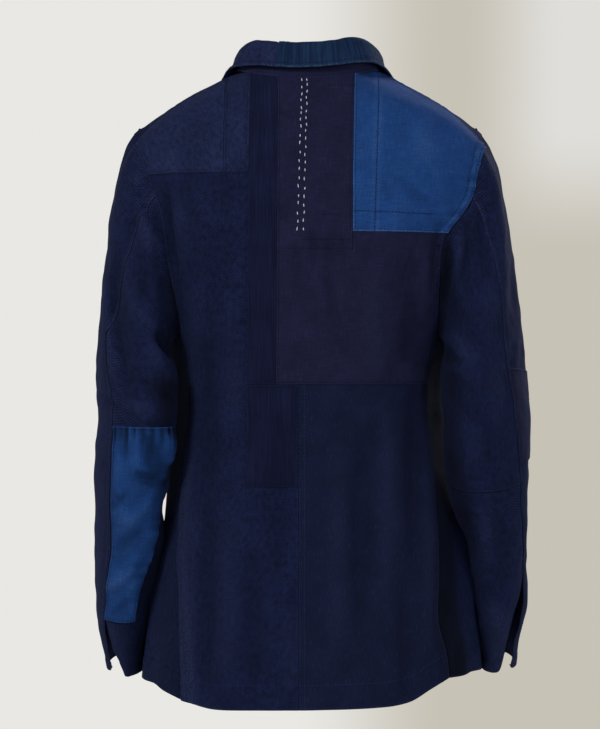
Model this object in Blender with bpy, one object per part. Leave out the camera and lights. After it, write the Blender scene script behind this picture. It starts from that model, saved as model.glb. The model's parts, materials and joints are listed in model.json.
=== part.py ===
"""A patched work jacket as it hangs on a wearer, hollow and open at neck, hem and cuffs.

Tables and distances are in millimetres. The front faces -Y, the wearer's left is +X,
and the origin is the middle of the neck, level with the tops of the shoulders.
"""
import math

import bmesh
import bpy
from mathutils import Vector

MM = 0.001

CLOTH = 2.0  # wall of the heavy indigo cloth
PATCH = 1.2  # wall of a patch
CLEAR = 0.3  # between a patch and the cloth under it
SEAM = 0.4  # between two cut edges at a seam
SQUARENESS = 2.2  # of the body's level sections: 2 is an ellipse

# The body's level sections: height, half width to the left, to the right, depth of the
# back and of the front from the side line.
HEIGHT, LEFT, RIGHT, BACK, FRONT = range(5)
BODY = (
    (8, 79, 79, 62, 44),
    (4, 84, 84, 65, 46),
    (-6, 100, 100, 71, 49),
    (-15, 120, 120, 76, 52),
    (-29, 145, 145, 83, 56),
    (-39, 160, 160, 88, 59),
    (-52, 176, 176, 94, 63),
    (-63, 190, 190, 99, 66),
    (-84, 205, 205, 108, 75),
    (-105, 210, 210, 116, 86),
    (-130, 210, 210, 123, 99),
    (-165, 204, 204, 129, 113),
    (-210, 190, 190, 133, 125),
    (-255, 172, 172, 132, 131),
    (-300, 156, 156, 129, 134),
    (-322, 147, 147, 127, 135),
    (-345, 143, 143, 125, 135),
    (-390, 143, 145, 122, 135),
    (-440, 149, 151, 120, 134),
    (-500, 159, 160, 120, 133),
    (-570, 167, 173, 123, 135),
    (-640, 176, 184, 128, 138),
    (-735, 184, 194, 133, 141),
)

# Side edges of the back, up the side seam and then the armhole: height, left, right.
BACK_EDGE = (
    (-720, 144, 159),
    (-692, 145, 157),
    (-660, 147, 149),
    (-620, 149.5, 147),
    (-560, 151.5, 149),
    (-500, 147, 145.5),
    (-440, 142, 142),
    (-390, 136, 137),
    (-345, 136, 136),
    (-300, 147, 147),
    (-270, 150, 148.5),
    (-240, 156, 149),
    (-209, 162, 151),
    (-187, 165, 157),
    (-164, 168, 174),
    (-142, 174, 187),
    (-119, 184, 192),
    (-108, 191, 196),
    (-84, 205, 205),
)

# Levels of the back's cross rows below the yoke line, from the hem up. The rows at 692,
# 475, 359, 209, 187 and 119 carry the hem stitching and the edges of the patches.
BACK_LEVELS = (-720, -692, -640, -585, -530, -475, -435, -397, -359, -328, -300, -270,
               -240, -209, -187, -164, -142, -119)
YOKE_LINE = -119
BACK_YOKE_ROWS = 4

# Lengthwise lines of the back that carry patch edges: across at the neck, at the yoke
# line and at the hem. The first and last reach the neck's corners.
BACK_LINES = (
    (84, 96, 97),
    (66, 67, 72),
    (55, 56, 59),
    (35, 35, 39),
    (12, 12, 12),
    (-11, -11, -12),
    (-31, -31, -32),
    (-53, -50, -47),
    (-84, -78, -75),
)
SIDE_FILL = 3  # lines added between the outermost of those and each edge

# How far the hem dips below or rises above its level: across, rise.
HEM_RISE = ((-159, 25), (-128, 15), (-60, 3), (0, 0), (60, -4), (100, -6), (144, 1))
FRONT_HEM_LEFT = ((50, 2), (62, 8), (80, 15), (110, 14), (180, 4))
FRONT_HEM_RIGHT = ((50, 25), (62, 25), (80, 27), (120, 20), (180, 4))
HEM_FADE = (-692, -560)  # the rise is whole below the first height, gone above the second

# The largest folds of the back: from across and height, to across and height, width,
# depth. A positive depth is a trough.
BACK_FOLDS = (
    (-139, -180, -134, -345, 11, 7),
    (151, -150, 138, -340, 11, 5),
    (-96, -230, -112, -350, 22, 3),
    (100, -300, 112, -560, 26, -4),
    (-104, -420, -92, -690, 24, -4),
    (-130, -520, -124, -700, 14, 4),
    (40, -560, 30, -720, 26, -3),
)

# The front armhole, from the side seam up to the yoke line: height at the edge, turn
# round the body from the back, height of the same row at the centre front.
FRONT_ARMHOLE = (
    (-295, 83, -278),
    (-287, 97, -257),
    (-275, 108, -237),
    (-258, 115, -217),
    (-230, 119, -194),
    (-196, 121, -170),
    (-158, 120, -143),
    (-119, 118, -119),
)
FRONT_YOKE_ROWS = 3
# How far each front swells out just ahead of its side seam, under the arm: height, on the
# left, on the right.
SIDE_SWELL = (
    (-298, 0, 0),
    (-325, 14, 16),
    (-345, 15, 17.5),
    (-400, 15.5, 17.5),
    (-440, 15.5, 14),
    (-470, 15.5, 11.5),
    (-486, 14, 11.5),
    (-505, 5, 13),
    (-524, 8.5, 16.5),
    (-545, 15.5, 21.5),
    (-570, 12.5, 21.5),
    (-600, 9.5, 17.5),
    (-640, 12, 15),
    (-680, 15, 14.5),
    (-720, 16, 16),
)
SWELL_MIDDLE, SWELL_REACH = -25, 38  # of that swelling, fore and aft
NECK_COLUMNS = 6  # front columns that end on the neckline
SHOULDER_COLUMNS = SIDE_FILL + 1
NECK_HALF_WIDTH = 84
NECK_SIDE, NECK_BACK, NECK_FRONT = 4, -9, -74  # heights of the neck seam
LAP = 16  # each front passes the centre by this much
LAP_INSET = 3.6  # the under front lies this far inside
SEAM_BACKWARD = 18  # the shoulder seam's arm end lies this far behind the side line

# Sleeve rings below the armhole: height at the rear, nearest and furthest across, fore
# and aft middle, half depth, skew in degrees, across at the elbow seam, across at the
# inner edge of the elbow patch.
RING_HEIGHT, INNER, OUTER, MIDDLE, DEPTH, SKEW, SEAM_LINE, PATCH_LINE = range(8)
LEFT_SLEEVE = (
    (-330, 152, 247.5, 36, 72, 28, 231, 160),
    (-365, 149, 246.5, 41, 68, 26, 226, 157),
    (-407, 151, 245, 42, 65, 24, 224, 156),
    (-440, 156, 247.5, 38, 62, 20, 225, 159),
    (-474, 162, 249, 30, 60, 16, 227, 165),
    (-508, 167, 249, 19, 58, 12, 228, 172),
    (-545, 172, 249.5, 5, 56, 8, 228, 182),
    (-585, 177, 251, -11, 54, 5, 232, 197),
    (-615, 181, 250.5, -23, 52.5, 3, 235, 206),
    (-636, 184, 250, -31, 51.5, 2, 237, 209),
    (-652, 186, 249, -38, 51, 2, 238, 210),
    (-678, 189, 245.5, -49, 50, 2, 236, 211),
    (-703, 193, 239, -60, 49, 2, 231, 212),
)
RIGHT_SLEEVE = (
    (-338, 152, 254.5, 37, 72, 28, 228, 162),
    (-370, 152, 255.5, 41, 68, 26, 234, 162),
    (-402, 155, 257, 42, 65, 22, 237, 166),
    (-433, 156, 256.5, 39, 63, 20, 240, 168),
    (-459, 157, 257, 34, 61, 18, 243, 170),
    (-480, 159, 257, 28, 60, 16, 245, 173),
    (-510, 165, 256.5, 18, 58, 12, 246, 180),
    (-535, 174, 256, 8, 57, 9, 249, 188),
    (-562, 186, 255.5, -3, 55, 6, 250, 198),
    (-590, 191, 256.5, -13, 54, 4, 251, 204),
    (-638, 194.5, 258, -32, 51.5, 2, 249, 208),
    (-667, 197.5, 252, -44, 50, 2, 243, 211),
    (-699, 201, 247, -58, 49, 2, 238, 214),
)
CAP_ROWS = 5  # between the armhole and the first ring
CAP_REACH = 23  # how far the sleeve head stands out before it falls
CAP_SLOPE = (0.87, -0.48)  # the way it stands out: across, up
ELBOW_COLUMN, PATCH_COLUMN, FOREARM_COLUMN = 5, 10, 16  # counted down the back armhole
TOP_TURN, FOREARM_TURN = 80, 205  # of the sleeve's shoulder point and its forearm seam
LEAN = 0.8  # share of the sleeve's slope that its rings tilt by
VENT_CORNER = 17  # rise of the cut corners at the open cuff

# The collar's stand and fall. The stand rises from the neck seam, and the fall starts at
# the stand's top: out from there, up from there.
STAND = ((0, 1), (-4, 12), (-7.5, 26), (-9, 38))
FALL = ((-1.2, 2.6), (2.6, 3.6), (6.4, 0.6), (9.5, -7), (12.5, -16), (16, -26))
FALL_CLEAR = 6.2  # least distance from the fall's face to the body's
STAND_SHARE_FRONT = 0.5  # the stand is lower at the sides and the front
FALL_SHARE_FRONT = 1.9  # and the fall is longer at the front
FALL_REACH_FRONT = 1.9  # and stands further out there
COLLAR_TILT = -0.035  # the collar sits higher on the right
COLLAR_JOIN_LINE = 3  # the back line that the fall's joining seam stands over
COLLAR_POINT = 40  # how far the fall's points stand apart from the centre
COLLAR_END_GAP = 3

BUTTON_HEIGHTS = (-98, -215, -332, -449, -566)
BUTTON_RADIUS, BUTTON_THICKNESS, BUTTON_DISH = 9, 3.2, 0.9
BUTTON_CLEAR = 0.4

INDIGO = (0.0095, 0.0125, 0.035)
PLUM = (0.0115, 0.0120, 0.034)
BLUE = (0.0135, 0.0400, 0.130)
TEAL = (0.0085, 0.0170, 0.045)
HORN = (0.012, 0.010, 0.009)

# The back is joined from three lengths: at this line all the way down, and right of it at
# this row. The right under sleeve is joined across at its own row.
CENTRE_SEAM, HIP_SEAM, FOREARM_SEAM = 8, 8, 7

# Patches: the cloth under it, its colour, that cloth's lines at its left and right edges,
# that cloth's rows at its lower and upper edges.
PATCHES = (
    ("patch_weave_outer", "back", INDIGO, (0, 4), (17, 21)),
    ("patch_weave_inner", "back", INDIGO, (4, 5), (17, 21)),
    ("patch_centre_strip", "back", INDIGO, (5, 7), (8, 21)),
    ("patch_centre_low", "back", INDIGO, (5, 8), (5, 8)),
    ("patch_plum_upper", "back", PLUM, (7, 11), (13, 21)),
    ("patch_plum_large", "back", PLUM, (7, 16), (8, 14)),
    ("patch_blue_shoulder", "back", BLUE, (11, 16), (14, 21)),
    ("patch_elbow_blue", "sleeve_left_under", BLUE, (0, 5), (3, 10)),
    ("patch_elbow_plum", "sleeve_right_upper", PLUM, (0, 7), (8, 12)),
)
# A notched patch leaves out its top rows, from the second number up, left of the first.
PATCH_NOTCHES = {"patch_plum_large": (4, 5)}


def read(table, at, column):
    """A column of a table at some key, on a curve through the rows that never overshoots."""
    rows = sorted(table)
    keys = [row[0] for row in rows]
    values = [row[column] for row in rows]
    at = min(max(at, keys[0]), keys[-1])
    k = next(i for i in range(1, len(keys)) if at <= keys[i])

    def slope(i):
        return (values[i] - values[i - 1]) / (keys[i] - keys[i - 1])

    def tangent(i):
        if i in (0, len(keys) - 1):
            return slope(max(i, 1))
        before, after = slope(i), slope(i + 1)
        return 0 if before * after <= 0 else 2 * before * after / (before + after)

    step = keys[k] - keys[k - 1]
    u = (at - keys[k - 1]) / step
    return (
        values[k - 1] * (1 + 2 * u) * (1 - u) ** 2
        + values[k] * u * u * (3 - 2 * u)
        + step * (tangent(k - 1) * u * (1 - u) ** 2 - tangent(k) * u * u * (1 - u))
    )


def body_at_turn(turn, height):
    """A point of the body's form. The turn is 0 at the centre back and grows to the left."""
    half_width = read(BODY, height, LEFT if turn >= 0 else RIGHT)
    across, along = math.sin(math.radians(turn)), math.cos(math.radians(turn))
    depth = read(BODY, height, BACK if along >= 0 else FRONT)
    x = math.copysign(abs(across) ** (2 / SQUARENESS), across) * half_width
    y = math.copysign(abs(along) ** (2 / SQUARENESS), along) * depth
    return Vector((x, y, height))


def turn_of(point):
    """The turn at which a point of the form lies, whichever its side."""
    across = abs(point.x) / read(BODY, point.z, LEFT)
    along = abs(point.y) / read(BODY, point.z, BACK if point.y > 0 else FRONT)
    turn = math.degrees(math.atan2(across ** (SQUARENESS / 2), along ** (SQUARENESS / 2)))
    return turn if point.y > 0 else 180 - turn


def body_at_across(across, height, face):
    """A point of the form's back or front, found by how far across it lies."""
    half_width = read(BODY, height, LEFT if across >= 0 else RIGHT)
    rest = max(0, 1 - (abs(across) / half_width) ** SQUARENESS)
    depth = read(BODY, height, face) * rest ** (1 / SQUARENESS)
    return Vector((across, depth if face == BACK else -depth, height))


def shoulder_height(across):
    """Height of the shoulder seam, where the form's sections end at the side."""
    low, high = -84.0, 8.0
    for _ in range(30):
        middle = (low + high) / 2
        if read(BODY, middle, LEFT) > abs(across):
            low = middle
        else:
            high = middle
    return middle


def arm_share(across):
    """0 at the neck's corner, 1 at the arm end of the shoulder seam."""
    return min(1, max(0, (abs(across) - NECK_HALF_WIDTH) / (205 - NECK_HALF_WIDTH)))


def fold_depth(across, height):
    total = 0
    for x0, z0, x1, z1, width, depth in BACK_FOLDS:
        run = Vector((x1 - x0, z1 - z0))
        offset = Vector((across - x0, height - z0))
        share = offset.dot(run) / run.length_squared
        aside = abs(offset.x * run.y - offset.y * run.x) / run.length
        ends = max(0, 1 - (2 * share - 1) ** 2) if 0 < share < 1 else 0
        total += depth * ends * math.exp(-((aside / width) ** 2))
    return total


def back_point(across, height, top):
    """A point on the worn back, with its folds and the backward run of the shoulder seam."""
    point = body_at_across(across, height, BACK)
    below = max(0, top - height)
    point.y += SEAM_BACKWARD * arm_share(across) ** 1.3 * math.exp(-below / 35)
    point.y -= fold_depth(across, height)
    return point


def hem_share(level):
    low, high = HEM_FADE
    return min(1, max(0, (high - level) / (high - low)))


def back_lines(level_share, level, left, right):
    """Where the back's lengthwise lines cross one row, from the left edge to the right."""
    lines = []
    for at_neck, at_yoke, at_hem in BACK_LINES:
        if level_share > 0:
            lines.append(at_yoke + (at_neck - at_yoke) * level_share)
        else:
            share = (YOKE_LINE - level) / (YOKE_LINE - BACK_LEVELS[0])
            lines.append(at_yoke + (at_hem - at_yoke) * share)
    fill = [k / (SIDE_FILL + 1) for k in range(1, SIDE_FILL + 1)]
    to_left = [left + (lines[0] - left) * share for share in fill]
    to_right = [lines[-1] + (right - lines[-1]) * share for share in fill]
    return [left] + to_left + lines + to_right + [right]


def back_rows():
    rows = []
    for level in BACK_LEVELS:
        left, right = read(BACK_EDGE, level, 1), -read(BACK_EDGE, level, 2)
        row = []
        for across in back_lines(0, level, left, right):
            height = level + read(HEM_RISE, across, 1) * hem_share(level)
            row.append(back_point(across, height, shoulder_height(across)))
        rows.append(row)
    for k in range(1, BACK_YOKE_ROWS + 1):
        share = k / BACK_YOKE_ROWS
        edge = YOKE_LINE + (-84 - YOKE_LINE) * share
        left, right = read(BACK_EDGE, edge, 1), -read(BACK_EDGE, edge, 2)
        row = []
        for across in back_lines(share, YOKE_LINE, left, right):
            if abs(across) < NECK_HALF_WIDTH:
                rise = (across / NECK_HALF_WIDTH) ** 2
                top = NECK_BACK + (NECK_SIDE - NECK_BACK) * rise
            else:
                top = shoulder_height(across)
            height = YOKE_LINE + (top - YOKE_LINE) * share
            row.append(back_point(across, height, top))
        rows.append(row)
    return rows


def front_rows(side, back):
    """One front, from its centre edge out to the side seam and armhole.

    Its side points and shoulder points are the back's own.
    """
    mirror = 1 if side == "left" else -1
    hem = FRONT_HEM_LEFT if side == "left" else FRONT_HEM_RIGHT
    seam_column = 0 if side == "left" else -1
    swell_column = 1 if side == "left" else 2
    laps = [(-LAP, 0), (0, 0)]
    if side == "right":
        laps = [(-LAP, LAP_INSET), (LAP + 1.2, LAP_INSET), (LAP + 6.5, 0)]
    columns = NECK_COLUMNS + SHOULDER_COLUMNS
    rows = []

    def lap_points(height):
        points = []
        for across, inset in laps:
            point = body_at_across(mirror * across, height, FRONT)
            point.y += inset
            points.append(point)
        return points

    def level_row(centre_height, edge):
        edge_turn = turn_of(edge)
        first = math.degrees(abs(laps[-1][0]) / read(BODY, centre_height, LEFT))
        low = hem_share(centre_height)
        row = lap_points(centre_height + low * read(hem, 180, 1))
        for k in range(1, columns):
            share = k / columns
            turn = 180 - first + (edge_turn - 180 + first) * share
            height = centre_height + (edge.z - centre_height) * share ** 1.5
            if low:
                height = centre_height + low * read(hem, turn, 1)
            point = body_at_turn(mirror * turn, height)
            fore = math.exp(-(((point.y - SWELL_MIDDLE) / SWELL_REACH) ** 2))
            swell = read(SIDE_SWELL, height, swell_column) * fore * (1 - share ** 16)
            row.append(point + Vector((mirror * swell, 0, 0)))
        return row + [edge.copy()]

    seam_rows = BACK_LEVELS.index(-300) + 1
    for level, seam_row in zip(BACK_LEVELS[:seam_rows], back[:seam_rows]):
        rows.append(level_row(level, seam_row[seam_column]))
    for k, opening in enumerate((5, 2)):  # the side vent parts the two hems
        rows[k][-1].y -= opening
    for edge_height, turn, centre_height in FRONT_ARMHOLE:
        rows.append(level_row(centre_height, body_at_turn(mirror * turn, edge_height)))

    shoulder = back[-1] if side == "left" else back[-1][::-1]
    shoulder = shoulder[:SHOULDER_COLUMNS + 1][::-1]
    tops = []
    for across, inset in laps:
        point = body_at_across(mirror * across, neckline(across), FRONT)
        point.y += inset
        tops.append(point)
    start = abs(laps[-1][0])
    for k in range(1, NECK_COLUMNS):
        share = 1 - (1 - k / NECK_COLUMNS) ** 2.6
        across = start + (NECK_HALF_WIDTH - start) * share
        tops.append(body_at_across(mirror * across, neckline(across), FRONT))
    tops += shoulder
    base = rows[-1]
    for k in range(1, FRONT_YOKE_ROWS + 1):
        u = k / FRONT_YOKE_ROWS
        row = []
        for bottom, top in zip(base, tops):
            if top in shoulder:
                arm = arm_share(top.x)
                bend = Vector((
                    top.x + (bottom.x - top.x) * 0.2 + mirror * 4 * arm,
                    -52 + 22 * arm ** 1.5,
                    top.z - 8 + 58 * arm ** 1.6,
                ))
            else:
                bend = (bottom + top) / 2
            row.append(bottom * (1 - u) ** 2 + bend * 2 * u * (1 - u) + top * u * u)
        rows.append(row)
    return rows if side == "left" else [row[::-1] for row in rows]


def neckline(across):
    """Height of the front neck seam."""
    share = min(1, abs(across) / NECK_HALF_WIDTH)
    return NECK_SIDE + (NECK_FRONT - NECK_SIDE) * (1 - share ** 2.4) ** 0.5


def armhole_loop(side, back, front):
    """The armhole, from the shoulder seam down the back, under the arm and up the front."""
    column = 0 if side == "left" else -1
    front_column = -1 if side == "left" else 0
    seam_top = BACK_LEVELS.index(-300)
    down = [row[column] for row in back[seam_top:]][::-1]
    up = [row[front_column] for row in front[seam_top + 1:]]
    return down + up[:-1]


def sleeve_rings(side, loop):
    """Rings of the sleeve from the armhole to the cuff, each in the loop's order."""
    mirror = 1 if side == "left" else -1
    table = LEFT_SLEEVE if side == "left" else RIGHT_SLEEVE
    count = len(loop)

    def ring(height):
        inner, outer, middle, depth, skew, seam_line, patch_line = (
            read(table, height, column) for column in range(INNER, PATCH_LINE + 1))
        centre, reach = (inner + outer) / 2, (outer - inner) / 2
        slope = (read(table, height + 15, MIDDLE) - read(table, height - 15, MIDDLE)) / 30

        def turn_at(across):
            share = min(0.97, max(-0.97, (across - centre) / reach))
            return skew + math.degrees(math.asin(share))

        elbow, patch = turn_at(seam_line), turn_at(patch_line)
        stops = ((0, TOP_TURN), (ELBOW_COLUMN, elbow), (PATCH_COLUMN, patch),
                 (FOREARM_COLUMN, FOREARM_TURN - 360), (count, TOP_TURN - 360))
        points = []
        for k in range(count):
            first, last = next(
                (a, b) for a, b in zip(stops, stops[1:]) if a[0] <= k < b[0])
            share = (k - first[0]) / (last[0] - first[0])
            turn = math.radians(first[1] + (last[1] - first[1]) * share)
            out = centre + reach * math.sin(turn - math.radians(skew))
            rear = depth * math.cos(turn)
            tilt = (depth - rear) * LEAN * slope
            points.append(Vector((mirror * out, middle + rear, height + tilt)))
        return points

    first_ring = ring(table[0][RING_HEIGHT])
    rings = [loop]
    for k in range(1, CAP_ROWS):
        u = k / CAP_ROWS
        points = []
        for start, end in zip(loop, first_ring):
            drop = start.z - end.z
            reach = CAP_REACH * min(1, 0.5 + drop / 200)
            head = start + Vector((mirror * CAP_SLOPE[0], 0, CAP_SLOPE[1])) * reach
            back = start - end
            fall = end + Vector((0.15 * back.x, 0.1 * back.y, 0.42 * drop))
            points.append(start * (1 - u) ** 3 + head * 3 * u * (1 - u) ** 2
                          + fall * 3 * u * u * (1 - u) + end * u ** 3)
        rings.append(points)
    return rings + [ring(row[RING_HEIGHT]) for row in table]


def sleeve_pieces(side, rings):
    """The under and upper sleeve, rows running up. They part below the top of the vent."""
    under = [ring[ELBOW_COLUMN:FOREARM_COLUMN + 1] for ring in rings]
    upper = [ring[FOREARM_COLUMN:] + ring[:ELBOW_COLUMN + 1] for ring in rings]
    under = [[point.copy() for point in row] for row in under]
    upper = [[point.copy() for point in row][::-1] for row in upper]
    for piece, spread in ((under, 1.0), (upper, 0.7)):
        for row, opening, rises in ((piece[-2], 0.3, (0, 0)), (piece[-1], 1.0, (1, 0.22))):
            step = (row[1] - row[0]) * 0.62 * opening * spread
            row[0] += step
            row[0].z += VENT_CORNER * rises[0] * spread
            row[1].z += VENT_CORNER * rises[1] * spread
    if side == "left":
        return under[::-1], [row[::-1] for row in upper][::-1]
    return [row[::-1] for row in under][::-1], upper[::-1]


def key(point):
    return tuple(round(value, 3) for value in point)


def skin_normals(panels):
    """Outward normals of the whole skin, shared where panels meet, so that walls mitre."""
    normals = {}
    for rows in panels:
        own = {}
        for low, high in zip(rows, rows[1:]):
            for a, b, c, d in zip(low, low[1:], high[1:], high):
                normal = (c - a).cross(d - b).normalized()
                for corner in (a, b, c, d):
                    own[key(corner)] = own.get(key(corner), Vector()) + normal
        for place, normal in own.items():
            normals[place] = normals.get(place, Vector()) + normal.normalized()
    return {place: normal.normalized() for place, normal in normals.items()}


def edge_pull(vert, place):
    """How far a corner of the grid is drawn in from the cut edges that meet at it."""
    pull = Vector()
    for edge in vert.link_edges:
        if edge.is_boundary:
            along = (place[edge.other_vert(vert)] - place[vert]).normalized()
            corners = [place[corner] - place[vert] for corner in edge.link_faces[0].verts]
            inside = sum(corners, Vector())
            pull += (inside - along * inside.dot(along)).normalized() * SEAM / 2
    return pull / 2 if len(vert.link_faces) == 2 else pull


def cloth_wall(name, rows, normals, colour, lift=0, wall=CLOTH, keep=None):
    """One piece of cloth: its grid of points, drawn in at the cut edges and given a wall.

    lift is the gap under a patch. keep picks the grid's cells of an odd-shaped piece.
    """
    columns, levels = len(rows[0]) - 1, len(rows) - 1
    bm = bmesh.new()
    bmesh.ops.create_grid(bm, x_segments=columns, y_segments=levels, size=1)
    if keep:
        spare = [face for k, face in enumerate(bm.faces)
                 if not keep(k % columns, k // columns)]
        bmesh.ops.delete(bm, geom=spare, context="FACES")
    outer = bm.verts[:]
    place = {}
    for vert in outer:
        i = round((vert.co.x + 1) / 2 * columns)
        j = round((vert.co.y + 1) / 2 * levels)
        place[vert] = rows[j][i]
    pulls = [edge_pull(vert, place) for vert in outer]
    height = lift + wall if lift else 0
    for vert, pull in zip(outer, pulls):
        vert.co = place[vert] + pull + normals[key(place[vert])] * height
    made = bmesh.ops.extrude_face_region(bm, geom=bm.faces[:])["geom"]
    copies = {key(vert.co): vert for vert in made if isinstance(vert, bmesh.types.BMVert)}
    inner = {vert: copies[key(vert.co)] for vert in outer}
    for vert in outer:
        inner[vert].co = vert.co - normals[key(place[vert])] * wall
    for face in bm.faces[:]:
        ends = [vert for vert in face.verts if vert in inner]
        if len(ends) == 2:  # a cut edge's face: two pieces that share an edge split it alike
            low, high = sorted(ends, key=lambda vert: key(place[vert]))
            bmesh.utils.face_split(face, low, inner[high])
    bmesh.ops.triangulate(bm, faces=bm.faces[:], quad_method="SHORT_EDGE")
    bmesh.ops.recalc_face_normals(bm, faces=bm.faces[:])
    bmesh.ops.scale(bm, vec=(MM, MM, MM), verts=bm.verts[:])
    return add_object(name, bm, colour)


def add_object(name, bm, colour, roughness=0.9, smooth=True):
    mesh = bpy.data.meshes.new(name)
    bm.to_mesh(mesh)
    bm.free()
    if smooth:
        mesh.shade_smooth()
        mesh.set_sharp_from_angle(angle=math.radians(40))
    obj = bpy.data.objects.new(name, mesh)
    bpy.context.scene.collection.objects.link(obj)
    material = bpy.data.materials.new(name)
    material.use_nodes = True
    shader = material.node_tree.nodes["Principled BSDF"]
    shader.inputs["Base Color"].default_value = (*colour, 1)
    shader.inputs["Roughness"].default_value = roughness
    shader.inputs["Metallic"].default_value = 0
    mesh.materials.append(material)
    return obj


def neck_base(back, front_left, front_right):
    """Points of the neck seam from the left end of the collar round to its right end."""
    left = front_left[-1][1:NECK_COLUMNS + 1]
    right = front_right[-1][::-1][2:NECK_COLUMNS + 2][::-1]
    neck = back[-1][SHOULDER_COLUMNS:-SHOULDER_COLUMNS]
    return left + neck + right + front_left[-1][:2]


def clear_of_body(point, gap):
    """The point, pushed out along the form's normal until it stands this far off the form."""

    def size_at(place):
        width = read(BODY, place.z, LEFT)
        depth = read(BODY, place.z, BACK if place.y > 0 else FRONT)
        return ((abs(place.x) / width) ** SQUARENESS
                + (abs(place.y) / depth) ** SQUARENESS) ** (1 / SQUARENESS)

    for _ in range(4):
        size = size_at(point)
        slope = Vector([size_at(point + step) - size
                        for step in (Vector((1, 0, 0)), Vector((0, 1, 0)), Vector((0, 0, 1)))])
        short = gap - (size - 1) / slope.length
        if short > 0:
            point = point + slope.normalized() * short
    return point


def collar_rows(base):
    """The stand's rows and the fall's, both running up, from the left end to the right."""
    stand = [[] for _ in STAND]
    fall = [[] for _ in FALL]
    for i, point in enumerate(base):
        side = 1 if i < len(base) / 2 else -1
        inset = COLLAR_END_GAP / 2 if i in (0, len(base) - 1) else 0
        along = base[min(i + 1, len(base) - 1)] - base[max(i - 1, 0)]
        outward = Vector((along.y, -along.x, 0)).normalized()
        rear, front = (min(1, max(0, share / 60)) for share in (point.y, -point.y))
        rear = rear * rear * (3 - 2 * rear)
        high = STAND_SHARE_FRONT + (1 - STAND_SHARE_FRONT) * rear
        tilt = COLLAR_TILT * point.x / STAND[-1][1]
        steep = along.length / along.to_2d().length
        for row, (out, up) in zip(stand, STAND):
            move = outward * out * (0.3 + 0.7 * high)
            row.append(point + move + Vector((side * inset, 0, up * (high + tilt))))
        top = stand[-1][-1]
        for k, (row, (out, up)) in enumerate(zip(fall, FALL)):
            drop = k / (len(FALL) - 1)
            reach = 1 + (FALL_REACH_FRONT - 1) * front * drop
            length = 1 + (FALL_SHARE_FRONT - 1) * front if up < 0 else steep
            apart = COLLAR_POINT * drop * front * max(0, 1 - abs(top.x) / NECK_HALF_WIDTH)
            place = top + outward * out * reach + Vector((side * apart, 0, up * length))
            row.append(clear_of_body(place, FALL_CLEAR) if drop > 0.3 else place)
    return stand, fall[::-1]


def add_collar(base):
    stand, fall = collar_rows(base)
    cloth_wall("collar_stand", stand, skin_normals([stand]), PLUM)
    seam = NECK_COLUMNS + COLLAR_JOIN_LINE
    left = [row[:seam + 1] for row in fall]
    right = [row[seam:] for row in fall]
    normals = skin_normals([left, right])
    cloth_wall("collar_fall_left", left, normals, INDIGO)
    cloth_wall("collar_fall_right", right, normals, TEAL)


def add_patches(grounds, normals):
    """Patches, each cut to the lines of the cloth that it lies on."""
    for name, ground, colour, (left, right), (low, high) in PATCHES:
        rows = [row[left:right + 1] for row in grounds[ground][low:high + 1]]
        notch = PATCH_NOTCHES.get(name)
        keep = notch and (lambda i, j: i >= notch[0] or j < notch[1])
        cloth_wall(name, rows, normals, colour, lift=CLEAR, wall=PATCH, keep=keep)


def add_button(name, height, edge):
    """A dished disc, turned about its own axis, at a height on the centre line of a front."""
    rim = BUTTON_THICKNESS / 2
    profile = ((0, -rim), (BUTTON_RADIUS - 0.8, -rim), (BUTTON_RADIUS, -rim + 0.8),
               (BUTTON_RADIUS, rim - 0.8), (BUTTON_RADIUS - 0.8, rim),
               (BUTTON_RADIUS - 2.4, rim), (BUTTON_RADIUS - 3.4, rim - BUTTON_DISH),
               (0, rim - BUTTON_DISH))
    bm = bmesh.new()
    verts = [bm.verts.new((radius, 0, up)) for radius, up in profile]
    edges = [bm.edges.new(pair) for pair in zip(verts, verts[1:])]
    bmesh.ops.spin(bm, geom=verts + edges, axis=(0, 0, 1), cent=(0, 0, 0),
                   angle=math.tau, steps=16, use_merge=True)
    bmesh.ops.remove_doubles(bm, verts=bm.verts[:], dist=0.01)
    bmesh.ops.recalc_face_normals(bm, faces=bm.faces[:])
    bmesh.ops.scale(bm, vec=(MM, MM, MM), verts=bm.verts[:])
    obj = add_object(name, bm, HORN, roughness=0.4)
    below, above = next(pair for pair in zip(edge, edge[1:])
                        if pair[0].z <= height < pair[1].z)
    outward = (above - below).cross(Vector((-1, 0, 0))).normalized()
    seat = below.lerp(above, (height - below.z) / (above.z - below.z))
    obj.location = (seat + outward * (rim + BUTTON_CLEAR)) * MM
    obj.rotation_euler = outward.to_track_quat("Z", "X").to_euler()


def build():
    for obj in list(bpy.data.objects):
        bpy.data.objects.remove(obj)
    back = back_rows()
    front_left = front_rows("left", back)
    front_right = front_rows("right", back)
    left_under, left_upper = sleeve_pieces(
        "left", sleeve_rings("left", armhole_loop("left", back, front_left)))
    right_under, right_upper = sleeve_pieces(
        "right", sleeve_rings("right", armhole_loop("right", back, front_right)))
    panels = {
        "back_left": [row[:CENTRE_SEAM + 1] for row in back],
        "back_right_upper": [row[CENTRE_SEAM:] for row in back[HIP_SEAM:]],
        "back_right_lower": [row[CENTRE_SEAM:] for row in back[:HIP_SEAM + 1]],
        "front_left": front_left,
        "front_right": front_right,
        "sleeve_left_under": left_under,
        "sleeve_left_upper": left_upper,
        "sleeve_right_under_upper": right_under[FOREARM_SEAM:],
        "sleeve_right_under_lower": right_under[:FOREARM_SEAM + 1],
        "sleeve_right_upper": right_upper,
    }
    grounds = {"back": back, "sleeve_left_under": left_under, "sleeve_right_upper": right_upper}
    normals = skin_normals(panels.values())
    for name, rows in panels.items():
        cloth_wall(name, rows, normals, INDIGO)
    add_patches(grounds, normals)
    add_collar(neck_base(back, front_left, front_right))
    centre_line = [row[1] for row in front_left]
    for k, height in enumerate(BUTTON_HEIGHTS, start=1):
        add_button(f"button_{k}", height, centre_line)


build()
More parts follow.
